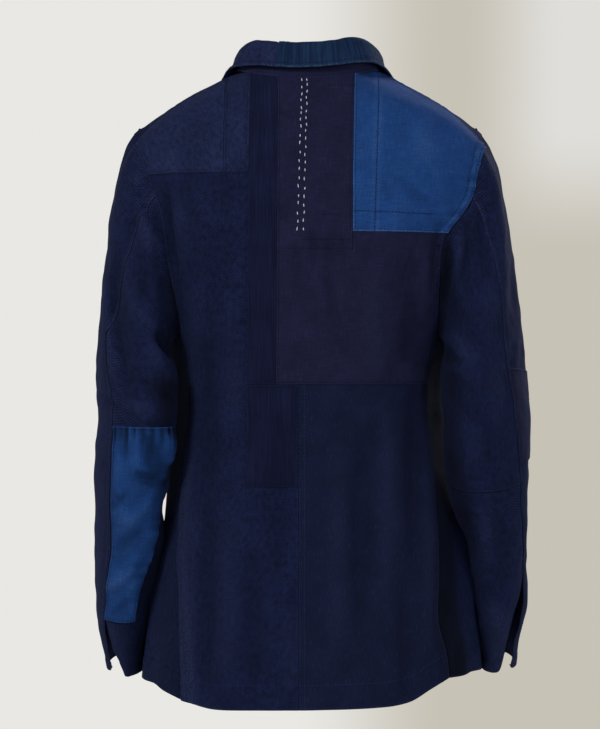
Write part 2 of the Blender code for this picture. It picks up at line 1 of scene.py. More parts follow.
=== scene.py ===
"""A patched indigo work jacket as it hangs on a wearer, open at neck, hem and cuffs.

Tables and distances are in millimetres. The front faces -Y, the wearer's left is +X,
and the origin is the middle of the neck, level with the tops of the shoulders.
"""
import json
import math

import bmesh
import bpy
import numpy as np
from mathutils import Matrix, Vector
from mathutils.bvhtree import BVHTree

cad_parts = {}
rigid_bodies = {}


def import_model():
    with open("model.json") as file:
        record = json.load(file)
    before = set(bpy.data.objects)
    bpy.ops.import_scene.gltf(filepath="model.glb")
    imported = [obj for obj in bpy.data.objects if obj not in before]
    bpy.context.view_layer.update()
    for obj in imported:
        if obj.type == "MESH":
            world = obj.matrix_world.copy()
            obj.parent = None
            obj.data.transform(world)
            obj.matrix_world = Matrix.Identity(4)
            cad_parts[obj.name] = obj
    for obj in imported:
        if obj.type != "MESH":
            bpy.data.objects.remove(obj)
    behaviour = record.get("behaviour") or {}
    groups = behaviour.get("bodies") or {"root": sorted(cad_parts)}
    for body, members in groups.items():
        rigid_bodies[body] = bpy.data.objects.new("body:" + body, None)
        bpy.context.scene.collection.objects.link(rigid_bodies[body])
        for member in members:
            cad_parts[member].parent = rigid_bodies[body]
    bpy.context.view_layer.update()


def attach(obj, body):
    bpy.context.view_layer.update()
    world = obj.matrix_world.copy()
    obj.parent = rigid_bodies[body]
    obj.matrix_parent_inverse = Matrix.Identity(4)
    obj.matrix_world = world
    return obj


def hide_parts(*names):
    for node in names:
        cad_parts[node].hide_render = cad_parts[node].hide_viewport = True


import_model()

# --- View, floor and light -----------------------------------------------------------
# A pale studio: a level view of the jacket's back from about three metres, a pale floor
# where the wearer would stand, a soft light high on the left, a broader and weaker one on
# the right, and one before the jacket's front.
VIEW_FROM = (0.0094, 3.1, -0.3364)
VIEW_HEIGHT = 0.853  # what the view takes in at the jacket's middle
SENSOR = 36
FLOOR_LEVEL, FLOOR_RADIUS = -1.5, 2.6
LAMP_AIM = (0, 0, -0.35)  # the lamps point at the jacket's middle
# The backdrop's colours: plain on the left, a painted shadow on the right, and the lighter wall
# high above that shadow.
STUDIO_WALL_LEFT, WALL_IN_PAINTED_SHADOW, WALL_ABOVE_PAINTED_SHADOW = "#e9e8e4", "#c7c2b6", "#e0deda"
FLOOR_GREY = "#d9d6cf"
ROOM_LEVEL, ROOM_STEEP = 0.8, 0.08  # the room's light, level with the jacket, and high or low


def colour(code):
    """An sRGB hex colour as linear red, green, blue and alpha."""
    values = [int(code[k:k + 2], 16) / 255 for k in (1, 3, 5)]
    linear = [v / 12.92 if v <= 0.04045 else ((v + 0.055) / 1.055) ** 2.4 for v in values]
    return (*linear, 1)


def add_node(tree, kind, sockets=None, give=0, **settings):
    """One output of a new node. A socket takes a value, or the output of another node."""
    made = tree.nodes.new("ShaderNode" + kind)
    for name, value in settings.items():
        setattr(made, name, value)
    for name, value in (sockets or {}).items():
        if isinstance(value, bpy.types.NodeSocket):
            tree.links.new(value, made.inputs[name])
        else:
            made.inputs[name].default_value = value
    return made.outputs[give] if made.outputs else made


def add_object(name, data):
    """An object in the scene. A bmesh is made a mesh first."""
    if isinstance(data, bmesh.types.BMesh):
        bm, data = data, bpy.data.meshes.new(name)
        bm.to_mesh(data)
        bm.free()
    made = bpy.data.objects.new(name, data)
    bpy.context.scene.collection.objects.link(made)
    return made


def new_material(name, roughness):
    """A material, its nodes and its shader."""
    made = bpy.data.materials.new(name)
    made.use_nodes = True
    shader = made.node_tree.nodes["Principled BSDF"]
    shader.inputs["Roughness"].default_value = roughness
    return made, made.node_tree, shader


def add_light(name, place, width, power, tint):
    """A round soft lamp, aimed at the jacket."""
    data = bpy.data.lights.new(name, "AREA")
    data.shape = "DISK"
    data.size = width
    data.energy = power
    data.color = colour(tint)[:3]
    lamp = add_object(name, data)
    lamp.location = place
    aim = Vector(LAMP_AIM) - Vector(place)
    lamp.rotation_euler = aim.to_track_quat("-Z", "Y").to_euler()


camera_data = bpy.data.cameras.new("view")
camera_data.sensor_width = SENSOR
camera_data.lens = SENSOR * VIEW_FROM[1] / VIEW_HEIGHT
camera = add_object("view", camera_data)
camera.location = VIEW_FROM
camera.rotation_euler = (math.pi / 2, 0, math.pi)
bpy.context.scene.camera = camera
bpy.context.scene.view_settings.view_transform = "Standard"

add_light("key", (1.6, 2.6, 1.6), 1.1, 78, "#fff9f2")
add_light("fill", (-1.6, 2.8, 0.3), 2.0, 31, "#f4f6ff")
add_light("front_key", (-1.6, -2.4, 1.4), 1.6, 60, "#ffffff")

world = bpy.data.worlds.new("studio")
bpy.context.scene.world = world
world.use_nodes = True
tree = world.node_tree
tree.nodes.clear()
way = add_node(tree, "TexCoord", give="Generated")
way = add_node(tree, "SeparateXYZ", {0: way}).node


def fade(along, start, end):
    """0 at the first place along an axis of the room's directions, 1 at the last."""
    return add_node(tree, "MapRange", {"Value": way.outputs[along], "From Min": start,
                                       "From Max": end}, interpolation_type="SMOOTHSTEP")


# The wall that the view looks at is lit in full, with a painted soft shadow greying it to the
# right that lightens again high on the right. The rest of the room is plain, and dimmer above and
# below.
behind = fade("Y", -0.8, -0.93)
side = add_node(tree, "Math", {0: fade("X", 0.005, -0.055), 1: behind}, operation="MULTIPLY")
wall_with_painted_shadow = add_node(tree, "Mix", {0: side, 6: colour(STUDIO_WALL_LEFT),
                                   7: colour(WALL_IN_PAINTED_SHADOW)}, give=2, data_type="RGBA")
corner = add_node(tree, "Math", {0: fade("X", -0.06, -0.1), 1: fade("Z", 0.04, 0.09)},
                  operation="MULTIPLY")
corner = add_node(tree, "Math", {0: corner, 1: behind}, operation="MULTIPLY")
wall_with_painted_shadow = add_node(tree, "Mix", {0: corner, 6: wall_with_painted_shadow, 7: colour(WALL_ABOVE_PAINTED_SHADOW)},
                     give=2, data_type="RGBA")
steep = add_node(tree, "Math", {0: way.outputs["Z"]}, operation="ABSOLUTE")
room = add_node(tree, "MapRange", {"Value": steep, "From Min": 0.2, "From Max": 0.45,
                                   "To Min": ROOM_LEVEL, "To Max": ROOM_STEEP})
room = add_node(tree, "MapRange", {"Value": behind, "To Min": room, "To Max": 1.0})
background = add_node(tree, "Background", {"Color": wall_with_painted_shadow, "Strength": room})
add_node(tree, "OutputWorld", {"Surface": background})

bm = bmesh.new()
bmesh.ops.create_circle(bm, cap_ends=True, segments=96, radius=FLOOR_RADIUS)
bmesh.ops.translate(bm, vec=(0, 0, FLOOR_LEVEL), verts=bm.verts[:])
floor = add_object("floor", bm)
floor_paint, tree, shader = new_material("studio_floor", 0.8)
shader.inputs["Base Color"].default_value = colour(FLOOR_GREY)
floor.data.materials.append(floor_paint)

# --- The back ------------------------------------------------------------------------
# One width of heavy indigo cotton in a rice-grain dobby, cut straight and eased over the
# shoulder blades. Below the patches its right half is a slubby plain weave, joined at the
# centre line. The hem is turned up 28 mm and stitched once.
MM = 0.001
SQUARENESS = 2.2  # of the body's level sections: 2 is an ellipse

# The body's level sections: height, half width to the left, to the right, depth of the
# back and of the front from the side line.
HEIGHT, LEFT, RIGHT, BACK, FRONT = range(5)
BODY = (
    (8, 79, 79, 62, 44),
    (4, 84, 84, 65, 46),
    (-6, 100, 100, 71, 49),
    (-15, 120, 120, 76, 52),
    (-29, 145, 145, 83, 56),
    (-39, 160, 160, 88, 59),
    (-52, 176, 176, 94, 63),
    (-63, 190, 190, 99, 66),
    (-84, 205, 205, 108, 75),
    (-105, 210, 210, 116, 86),
    (-130, 210, 210, 123, 99),
    (-165, 204, 204, 129, 113),
    (-210, 190, 190, 133, 125),
    (-255, 172, 172, 132, 131),
    (-300, 156, 156, 129, 134),
    (-322, 147, 147, 127, 135),
    (-345, 143, 143, 125, 135),
    (-390, 143, 145, 122, 135),
    (-440, 149, 151, 120, 134),
    (-500, 159, 160, 120, 133),
    (-570, 167, 173, 123, 135),
    (-640, 176, 184, 128, 138),
    (-735, 184, 194, 133, 141),
)

# Side edges of the back, up the side seam and then the armhole: height, left, right.
BACK_EDGE = (
    (-720, 144, 159),
    (-692, 145, 157),
    (-660, 147, 149),
    (-620, 149.5, 147),
    (-560, 151.5, 149),
    (-500, 147, 145.5),
    (-440, 142, 142),
    (-390, 136, 137),
    (-345, 136, 136),
    (-300, 147, 147),
    (-270, 150, 148.5),
    (-240, 156, 149),
    (-209, 162, 151),
    (-187, 165, 157),
    (-164, 168, 174),
    (-142, 174, 187),
    (-119, 184, 192),
    (-108, 191, 196),
    (-84, 205, 205),
)

# Levels of the back's cross rows below the yoke line, from the hem up. The rows at 692,
# 475, 359, 209, 187 and 119 carry the hem stitching and the edges of the patches.
BACK_LEVELS = (-720, -692, -640, -585, -530, -475, -435, -397, -359, -328, -300, -270,
               -240, -209, -187, -164, -142, -119)
YOKE_LINE = -119
BACK_YOKE_ROWS = 4

# Lengthwise lines of the back that carry patch edges: across at the neck, at the yoke
# line and at the hem. The first and last reach the neck's corners.
BACK_LINES = (
    (84, 96, 97),
    (66, 67, 72),
    (55, 56, 59),
    (35, 35, 39),
    (12, 12, 12),
    (-11, -11, -12),
    (-31, -31, -32),
    (-53, -50, -47),
    (-84, -78, -75),
)
SIDE_FILL = 3  # lines added between the outermost of those and each edge

# How far the hem dips below or rises above its level: across and rise on the back, and the
# turn round the body and rise on the fronts.
HEM_RISE = ((-159, 25), (-145, 18), (-128, 9), (-107, 0), (-60, -3), (60, -5), (100, -6), (144, 1))
FRONT_HEM_LEFT = ((50, 2), (62, 8), (80, 15), (110, 14), (180, 4))
FRONT_HEM_RIGHT = ((50, 25), (62, 25), (80, 27), (120, 20), (180, 4))
HEM_FADE = (-692, -560)  # the rise is whole below the first height, gone above the second

# The largest folds of the back: from across and height, to across and height, width,
# depth. A positive depth is a trough.
BACK_FOLDS = (
    (-139, -180, -134, -345, 11, 7),
    (151, -150, 138, -340, 11, 5),
    (-96, -230, -112, -350, 22, 3),
    (100, -300, 112, -560, 26, -4),
    (-104, -420, -92, -690, 24, -4),
    (-130, -520, -124, -700, 14, 4),
    (40, -560, 30, -720, 26, -3),
)

NECK_HALF_WIDTH = 84
SHOULDER_END, SHOULDER_HALF_WIDTH = -84, 205  # the shoulder seam's arm end
UNDER_ARM = -300  # the level where the side seam meets the armhole
NECK_SIDE, NECK_BACK = 4, -9  # heights of the neck seam
SEAM_BACKWARD = 18  # the shoulder seam's arm end lies this far behind the side line
def read(table, at, column):
    """A column of a table at some key, on a curve through the rows that never overshoots."""
    rows = sorted(table)
    keys = [row[0] for row in rows]
    values = [row[column] for row in rows]
    at = min(max(at, keys[0]), keys[-1])
    k = next(i for i in range(1, len(keys)) if at <= keys[i])

    def slope(i):
        return (values[i] - values[i - 1]) / (keys[i] - keys[i - 1])

    def tangent(i):
        if i in (0, len(keys) - 1):
            return slope(max(i, 1))
        before, after = slope(i), slope(i + 1)
        return 0 if before * after <= 0 else 2 * before * after / (before + after)

    step = keys[k] - keys[k - 1]
    u = (at - keys[k - 1]) / step
    return (
        values[k - 1] * (1 + 2 * u) * (1 - u) ** 2
        + values[k] * u * u * (3 - 2 * u)
        + step * (tangent(k - 1) * u * (1 - u) ** 2 - tangent(k) * u * u * (1 - u))
    )


def body_at_turn(turn, height):
    """A point of the body's form. The turn is 0 at the centre back and grows to the left."""
    half_width = read(BODY, height, LEFT if turn >= 0 else RIGHT)
    across, along = math.sin(math.radians(turn)), math.cos(math.radians(turn))
    depth = read(BODY, height, BACK if along >= 0 else FRONT)
    x = math.copysign(abs(across) ** (2 / SQUARENESS), across) * half_width
    y = math.copysign(abs(along) ** (2 / SQUARENESS), along) * depth
    return Vector((x, y, height))


def turn_of(point):
    """The turn at which a point of the form lies, whichever its side."""
    across = abs(point.x) / read(BODY, point.z, LEFT)
    along = abs(point.y) / read(BODY, point.z, BACK if point.y > 0 else FRONT)
    turn = math.degrees(math.atan2(across ** (SQUARENESS / 2), along ** (SQUARENESS / 2)))
    return turn if point.y > 0 else 180 - turn


def body_at_across(across, height, face):
    """A point of the form's back or front, found by how far across it lies."""
    half_width = read(BODY, height, LEFT if across >= 0 else RIGHT)
    rest = max(0, 1 - (abs(across) / half_width) ** SQUARENESS)
    depth = read(BODY, height, face) * rest ** (1 / SQUARENESS)
    return Vector((across, depth if face == BACK else -depth, height))


def shoulder_height(across):
    """Height of the shoulder seam, where the form's sections end at the side."""
    low, high = SHOULDER_END, BODY[0][HEIGHT]
    for _ in range(30):
        middle = (low + high) / 2
        if read(BODY, middle, LEFT) > abs(across):
            low = middle
        else:
            high = middle
    return middle


def arm_share(across):
    """0 at the neck's corner, 1 at the arm end of the shoulder seam."""
    reach = (abs(across) - NECK_HALF_WIDTH) / (SHOULDER_HALF_WIDTH - NECK_HALF_WIDTH)
    return min(1, max(0, reach))


def fold_depth(across, height):
    """Depth of the largest folds at a place on the back."""
    total = 0
    for x0, z0, x1, z1, width, depth in BACK_FOLDS:
        run = Vector((x1 - x0, z1 - z0))
        offset = Vector((across - x0, height - z0))
        share = offset.dot(run) / run.length_squared
        aside = abs(offset.x * run.y - offset.y * run.x) / run.length
        ends = max(0, 1 - (2 * share - 1) ** 2) if 0 < share < 1 else 0
        total += depth * ends * math.exp(-((aside / width) ** 2))
    return total


def back_point(across, height, top):
    """A point on the worn back, with its folds and the backward run of the shoulder seam."""
    point = body_at_across(across, height, BACK)
    below = max(0, top - height)
    point.y += SEAM_BACKWARD * arm_share(across) ** 1.3 * math.exp(-below / 35)
    point.y -= fold_depth(across, height)
    return point


def hem_share(level):
    """How much of the hem's dip and rise is felt at a height."""
    low, high = HEM_FADE
    return min(1, max(0, (high - level) / (high - low)))


def back_lines(level_share, level, left, right):
    """Where the back's lengthwise lines cross one row, from the left edge to the right."""
    lines = []
    for at_neck, at_yoke, at_hem in BACK_LINES:
        if level_share > 0:
            lines.append(at_yoke + (at_neck - at_yoke) * level_share)
        else:
            share = (YOKE_LINE - level) / (YOKE_LINE - BACK_LEVELS[0])
            lines.append(at_yoke + (at_hem - at_yoke) * share)
    fill = [k / (SIDE_FILL + 1) for k in range(1, SIDE_FILL + 1)]
    to_left = [left + (lines[0] - left) * share for share in fill]
    to_right = [lines[-1] + (right - lines[-1]) * share for share in fill]
    return [left] + to_left + lines + to_right + [right]


def back_rows():
    rows = []
    for level in BACK_LEVELS:
        left, right = read(BACK_EDGE, level, 1), -read(BACK_EDGE, level, 2)
        row = []
        for across in back_lines(0, level, left, right):
            height = level + read(HEM_RISE, across, 1) * hem_share(level)
            row.append(back_point(across, height, shoulder_height(across)))
        rows.append(row)
    for k in range(1, BACK_YOKE_ROWS + 1):
        share = k / BACK_YOKE_ROWS
        edge = YOKE_LINE + (SHOULDER_END - YOKE_LINE) * share
        left, right = read(BACK_EDGE, edge, 1), -read(BACK_EDGE, edge, 2)
        row = []
        for across in back_lines(share, YOKE_LINE, left, right):
            if abs(across) < NECK_HALF_WIDTH:
                rise = (across / NECK_HALF_WIDTH) ** 2
                top = NECK_BACK + (NECK_SIDE - NECK_BACK) * rise
            else:
                top = shoulder_height(across)
            height = YOKE_LINE + (top - YOKE_LINE) * share
            row.append(back_point(across, height, top))
        rows.append(row)
    return rows


def surface_at(rows, up, across):
    """Points of the smooth surface through a grid, at fractional row and column numbers."""

    def curve(points, at, steps):
        spread = steps.reshape((-1,) + (1,) * (points.ndim - 1))
        slopes = np.diff(points, axis=0) / spread
        middle = (slopes[1:] * spread[:-1] + slopes[:-1] * spread[1:]) / (spread[1:] + spread[:-1])
        tangents = np.concatenate([slopes[:1], middle, slopes[-1:]])
        k = np.clip(np.floor(at).astype(int), 0, len(steps) - 1)
        u = at - k
        beyond = (u - np.clip(u, 0, 1)) * steps[k]
        u = np.clip(u, 0, 1)
        return k, u, steps[k], beyond, tangents

    def blend(low, high, low_way, high_way, u, step, beyond, outward):
        u, step, beyond = (value.reshape(value.shape + (1,) * (low.ndim - value.ndim))
                           for value in (u, step, beyond))
        return (low * (1 + 2 * u) * (1 - u) ** 2 + high * u * u * (3 - 2 * u)
                + step * (low_way * u * (1 - u) ** 2 - high_way * u * u * (1 - u))
                + outward * beyond)

    run = np.diff(rows, axis=0), np.diff(rows, axis=1)
    row_steps, line_steps = (np.linalg.norm(way, axis=-1).mean(axis=1 - k)
                             for k, way in enumerate(run))
    k, u, step, beyond, ways = curve(rows, up, row_steps)
    outward = np.where((beyond < 0)[:, None, None], ways[k], ways[k + 1])
    strips = blend(rows[k], rows[k + 1], ways[k], ways[k + 1], u, step, beyond, outward)
    lines = strips.transpose(1, 0, 2)
    k, u, step, beyond, ways = curve(lines, across, line_steps)
    each = np.arange(len(across))
    low, high, low_way, high_way = (lines[k, each], lines[k + 1, each],
                                    ways[k, each], ways[k + 1, each])
    outward = np.where((beyond < 0)[:, None], low_way, high_way)
    return blend(low, high, low_way, high_way, u, step, beyond, outward)


def crease_height(points, normals, table):
    """Height of a table's creases at points of the cloth.

    Each row: three points of a bent line (across, up), width, height (a trough where
    negative), lean (a steeper slope on one side), and the face it lies on, rear 1, front -1.
    """
    total = np.zeros(len(points))
    places = points[:, [0, 2]]
    for start, bend, end, width, height, lean, face in table:
        t = np.linspace(0, 1, 17)[:, None]
        line = ((1 - t) ** 2 * np.array(start) + 2 * t * (1 - t) * np.array(bend)
                + t * t * np.array(end))
        lowest, highest = line.min(axis=0) - 2.6 * width, line.max(axis=0) + 2.6 * width
        near = np.flatnonzero(((places > lowest) & (places < highest)).all(axis=1))
        if not len(near):
            continue
        run = np.diff(line, axis=0)
        offset = places[near, None] - line[None, :-1]
        along = np.clip((offset * run).sum(-1) / (run * run).sum(-1), 0, 1)
        offset -= along[..., None] * run
        away = (offset * offset).sum(-1)
        nearest = away.argmin(axis=1)
        each = np.arange(len(near))
        share = (nearest + along[each, nearest]) / len(run)
        off, way = offset[each, nearest], run[nearest]
        side = np.sign(way[:, 0] * off[:, 1] - way[:, 1] * off[:, 0])
        taper = np.clip(4 * share * (1 - share), 0, 1)
        reach = width * (0.6 + 0.4 * taper) * (1 + side * lean)
        facing = np.clip(0.5 + 2 * face * normals[near, 1], 0, 1)
        total[near] += height * taper ** 0.8 * np.exp(-away[each, nearest] / reach ** 2) * facing
    return total


def uneven(points, size, seed):
    """A gentle rise and fall of about one millimetre either way, in waves of about that size."""
    total = np.zeros(len(points))
    for k in range(7):
        a, b = 2.4 * k + seed, 1.7 * k + 0.6 * seed
        way = np.array((math.cos(a), math.sin(a) * math.cos(b), math.sin(a) * math.sin(b)))
        total += np.sin(points @ way * (2 * math.pi / size) * (0.75 + 0.09 * k) + 1.3 * k + seed)
    return total / 3.4


def worn_panel(rows, creases, unevenness, seed, deeper=1.0):
    """A panel of worn cloth: its grid of points and its creases, made deeper by a share."""
    creases = [(*row[:4], deeper * row[4], *row[5:]) for row in creases]
    return {"rows": np.array(rows), "creases": creases, "unevenness": unevenness, "seed": seed}


def cloth_at(panel, up, across, lift=0.0):
    """Points and normals of a worn panel's face, with its creases, at row and column numbers."""
    up, across = (np.atleast_1d(np.asarray(value, float)) for value in (up, across))
    place = surface_at(panel["rows"], up, across)
    rise = (surface_at(panel["rows"], up + 0.05, across)
            - surface_at(panel["rows"], up - 0.05, across))
    run = (surface_at(panel["rows"], up, across + 0.05)
           - surface_at(panel["rows"], up, across - 0.05))
    normal = np.cross(run, rise)
    normal /= np.linalg.norm(normal, axis=1, keepdims=True)
    relief = crease_height(place, normal, panel["creases"])
    relief += panel["unevenness"] * uneven(place, 46, panel["seed"])
    return place + normal * (relief + lift)[:, None], normal


def places_along(panel, axis, first, last, spacing, fine=()):
    """Fractional row or column numbers about one spacing apart, with closer ones beside both
    ends, at the distances in fine."""
    rows = panel["rows"]
    steps = np.linalg.norm(np.diff(rows, axis=axis), axis=-1).mean(axis=1 - axis)
    reach = np.concatenate([[0], np.cumsum(steps)])
    ends = np.interp((first, last), np.arange(len(reach)), reach)
    ends[0] += min(0, first) * steps[0]
    ends[1] += max(0, last - len(steps)) * steps[-1]
    count = max(3, round((ends[1] - ends[0]) / spacing))
    middle = np.linspace(*ends, count + 1)[1:-1]
    clear = max(fine, default=0) + 0.5 * spacing
    middle = middle[(middle > ends[0] + clear) & (middle < ends[1] - clear)]
    at = np.array(sorted([*ends, *middle, *(ends[0] + d for d in fine),
                          *(ends[1] - d for d in fine)]))
    inside = np.interp(at, reach, np.arange(len(reach)))
    inside += np.minimum(0, at) / steps[0] + np.maximum(0, at - reach[-1]) / steps[-1]
    return inside


def rolled(distance, radius=1.0):
    """How far a folded edge's face turns down, by its distance from the edge."""
    share = np.clip(distance / radius, 0, 1)
    return -radius * (1 - np.sqrt(np.clip(1 - (1 - share) ** 2, 0, 1)))


def valley(distance, at, depth, width=1.1):
    """The groove that a row of stitches pulls, that far from the edge."""
    return -depth * np.exp(-((distance - at) / width) ** 2)


def puckers(along, distance, height, reach, size=6.5, phase=0.0):
    """Small gathers that run in from a stitched edge and fade with distance from it."""
    s = along / size + phase
    wave = (np.sin(s * 2 * math.pi + 1.6 * np.sin(s * 1.9 + phase))
            * (0.62 + 0.38 * np.sin(s * 0.83)))
    return height * wave * np.exp(-(distance / reach) ** 2)


CREASE_WEAR_AND_SHADE = 0.12  # how much paler a crease's ridge is rubbed for each millimetre that it stands up, and how much darker its trough is, as painted shade, for each millimetre that it sinks, within limits


EDGE_STEPS = (0.35, 0.8, 1.4, 2.2, 3.2, 4.4)  # the close rows beside an edge, to round it


def cloth_piece(name, node, panel, lines, levels, material, shape,
                lift=0.0, wall=1.7, spacing=(2.6, 2.6), keep=None, straight=False):
    """One piece of cloth over part of a panel, given a wall on its inner side.

    lines and levels are the column and row numbers of its edges. shape gives the piece's own
    height and tone from its distances to the left, right, lower and upper edges: 1 is palest, -1
    darkest; rubbing and painted light make it paler, darker dye and painted shade darker. The
    warp runs true from the middle out, or along the panel's lines where straight.
    """
    across_at = places_along(panel, 1, *lines, spacing[0], EDGE_STEPS)
    up_at = places_along(panel, 0, *levels, spacing[1], EDGE_STEPS)
    columns, rows = len(across_at), len(up_at)
    up_grid, across_grid = np.meshgrid(up_at, across_at, indexing="ij")
    points, normals = cloth_at(panel, up_grid.ravel(), across_grid.ravel(), lift)
    grid = points.reshape(rows, columns, 3)
    steps = np.linalg.norm(np.diff(grid, axis=1), axis=-1)
    from_left = np.concatenate([np.zeros((rows, 1)), np.cumsum(steps, axis=1)], axis=1)
    steps = np.linalg.norm(np.diff(grid, axis=0), axis=-1)
    from_low = np.concatenate([np.zeros((1, columns)), np.cumsum(steps, axis=0)], axis=0)
    from_right, from_top = from_left[:, -1:] - from_left, from_low[-1:] - from_low
    edges = [side.ravel() for side in (from_left, from_right, from_low, from_top)]
    height, wear_and_painted_light = shape(points, *edges)
    relief = points - surface_at(panel["rows"], up_grid.ravel(), across_grid.ravel())
    relief = (relief * normals).sum(axis=1) - lift
    # Ridges rubbed paler, and painted shade in the troughs.
    wear_and_painted_light = wear_and_painted_light + np.clip(CREASE_WEAR_AND_SHADE * relief, -0.22, 0.5)
    points = points + normals * np.asarray(height)[:, None]

    bm = bmesh.new()
    bmesh.ops.create_grid(bm, x_segments=columns - 1, y_segments=rows - 1, size=1)
    mesh = bpy.data.meshes.new(name)
    bm.to_mesh(mesh)
    bm.free()
    mesh.vertices.foreach_set("co", (points * MM).ravel())
    middle = columns // 2
    map_across = from_left - from_left[:, middle:middle + 1]
    if straight:
        map_across = np.repeat(map_across.mean(axis=0)[None], rows, axis=0)
    chart = np.stack([map_across, from_low], axis=-1).reshape(-1, 2) * MM
    corners = np.empty(len(mesh.loops), np.int32)
    mesh.loops.foreach_get("vertex_index", corners)
    mesh.uv_layers.new(name="cloth").data.foreach_set("uv", chart[corners].ravel())
    mesh.attributes.new("wear_and_painted_light", "FLOAT", "POINT").data.foreach_set("value", np.clip(wear_and_painted_light, -1, 1))
    mesh.materials.append(material)
    lines_of_faces = (across_at[1:] + across_at[:-1]) / 2
    levels_of_faces = (up_at[1:] + up_at[:-1]) / 2
    if keep:
        bm = bmesh.new()
        bm.from_mesh(mesh)
        spare = [face for k, face in enumerate(bm.faces)
                 if not keep(lines_of_faces[k % (columns - 1)],
                              levels_of_faces[k // (columns - 1)])]
        bmesh.ops.delete(bm, geom=spare, context="FACES")
        bm.to_mesh(mesh)
        bm.free()
    mesh.shade_smooth()
    piece = add_object(name, mesh)
    body = piece.modifiers.new("wall", "SOLIDIFY")
    body.thickness = wall * MM
    body.offset = -1
    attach(piece, "root")
    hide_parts(node)


# Creases of the back, each a bent line from the first point through the bend to the last,
# across and up: width, height, lean, face.
BACK_CREASES = (
    ((-17, -222), (-26, -262), (-33, -300), 8, -2.4, 0.25, 1),
    ((-6, -214), (-15, -250), (-19, -278), 8, 1.6, 0, 1),
    ((-1, -184), (-10, -200), (-5, -230), 5.5, -1.6, 0, 1),
    ((-21, -190), (-27, -208), (-23, -236), 5.5, -1.5, 0, 1),
    ((-40, -190), (-37, -206), (-43, -230), 6, -1.2, 0, 1),
    ((13, -192), (15, -214), (10, -246), 6, -1.3, 0, 1),
    ((158, -140), (160, -180), (148, -236), 6.5, -4.0, 0.3, 1),
    ((147, -130), (148, -176), (138, -230), 9, 2.4, 0, 1),
    ((-152, -168), (-146, -205), (-138, -256), 6.5, -3.0, 0.2, 1),
    ((-140, -200), (-134, -240), (-130, -290), 10, 1.8, 0, 1),
    ((130, -240), (122, -310), (127, -390), 11, 2.2, 0, 1),
    ((120, -300), (108, -400), (113, -530), 11, -2.2, 0.1, 1),
    ((90, -250), (80, -330), (85, -430), 14, 1.8, 0, 1),
    ((150, -560), (152, -630), (156, -716), 7, -1.8, 0.2, 1),
    ((136, -430), (130, -540), (133, -660), 9, 2.4, 0, 1),
    ((118, -470), (111, -580), (115, -712), 10, -2.8, 0.2, 1),
    ((93, -490), (87, -600), (92, -720), 13, 2.0, 0, 1),
    ((64, -540), (59, -620), (63, -718), 10, -2.0, 0, 1),
    ((36, -380), (31, -480), (36, -600), 12, -1.6, 0, 1),
    ((20, -600), (16, -660), (20, -718), 11, 1.5, 0, 1),
    ((-30, -420), (-37, -540), (-30, -712), 13, 1.8, 0, 1),
    ((-56, -390), (-61, -520), (-58, -650), 12, -2.2, 0, 1),
    ((-87, -370), (-93, -470), (-88, -610), 11, 2.2, 0, 1),
    ((-118, -350), (-123, -460), (-118, -570), 9, -2.8, 0.2, 1),
    ((-134, -400), (-141, -520), (-138, -650), 8, 2.0, 0, 1),
    ((-106, -590), (-111, -660), (-108, -720), 8, -2.2, 0, 1),
    ((-72, -236), (-78, -290), (-73, -356), 16, 1.6, 0, 1),
    ((-112, -196), (-116, -260), (-110, -340), 13, -1.6, 0, 1),
    ((60, -36), (74, -70), (94, -114), 13, 1.6, 0, 1),
    ((120, -50), (136, -80), (150, -116), 12, -1.4, 0, 1),
    ((158, -84), (150, -106), (152, -132), 9, 2.0, 0, 1),
    ((-120, -60), (-136, -90), (-146, -130), 12, 1.3, 0, 1),
    ((-96, -120), (-118, -146), (-150, -158), 8, -1.2, 0.2, 1),
)
SIDE_LAP = 1.2  # the back passes its seams by this much, over the cloth beside it
SEAM_RISE, SEAM_WIDTH = 0.8, 9  # a felled seam lies this proud, for this width
HEM_FOLD = 28


def smooth_step(value, low, high):
    share = np.clip((value - low) / (high - low), 0, 1)
    return share * share * (3 - 2 * share)


def smooth_fall(value, low, high):
    return 1 - smooth_step(value, low, high)


def felled(distance, along, phase):
    """A seam's upper side: proud, folded under at the edge, with two rows of stitches."""
    proud = SEAM_RISE * smooth_fall(distance, SEAM_WIDTH, SEAM_WIDTH + 4)
    return (proud + rolled(distance) + valley(distance, 1.8, 0.3) + valley(distance, 8, 0.4)
            + puckers(along, distance - 6, 0.32, 9, phase=phase))


def sunk(distance, depth=0.9):
    """A seam's lower side, which dips under the cloth that covers it."""
    return -depth * smooth_fall(distance, 0, 5)


def turned_hem(distance, along, fold, phase):
    """A hem turned up once and stitched along its upper edge."""
    return (0.7 * smooth_fall(distance, fold - 1.5, fold + 1.5) + rolled(distance, 1.6)
            + valley(distance, fold, 0.45, 1.3)
            + puckers(along, distance - fold * 0.6, 0.35, 15, 11, phase))


def edge_wear(*distances):
    """Fading along folded edges."""
    return sum(np.exp(-(distance / 1.6) ** 2) for distance in distances)


DARK_DYE_AND_SHADE = "#04050b"  # near-black indigo: the cloth turns to it for darker dye, and for painted shade beside the arms, under seams and in crease troughs
NAP = "#6f86e0"  # the blue cast of loose fibres


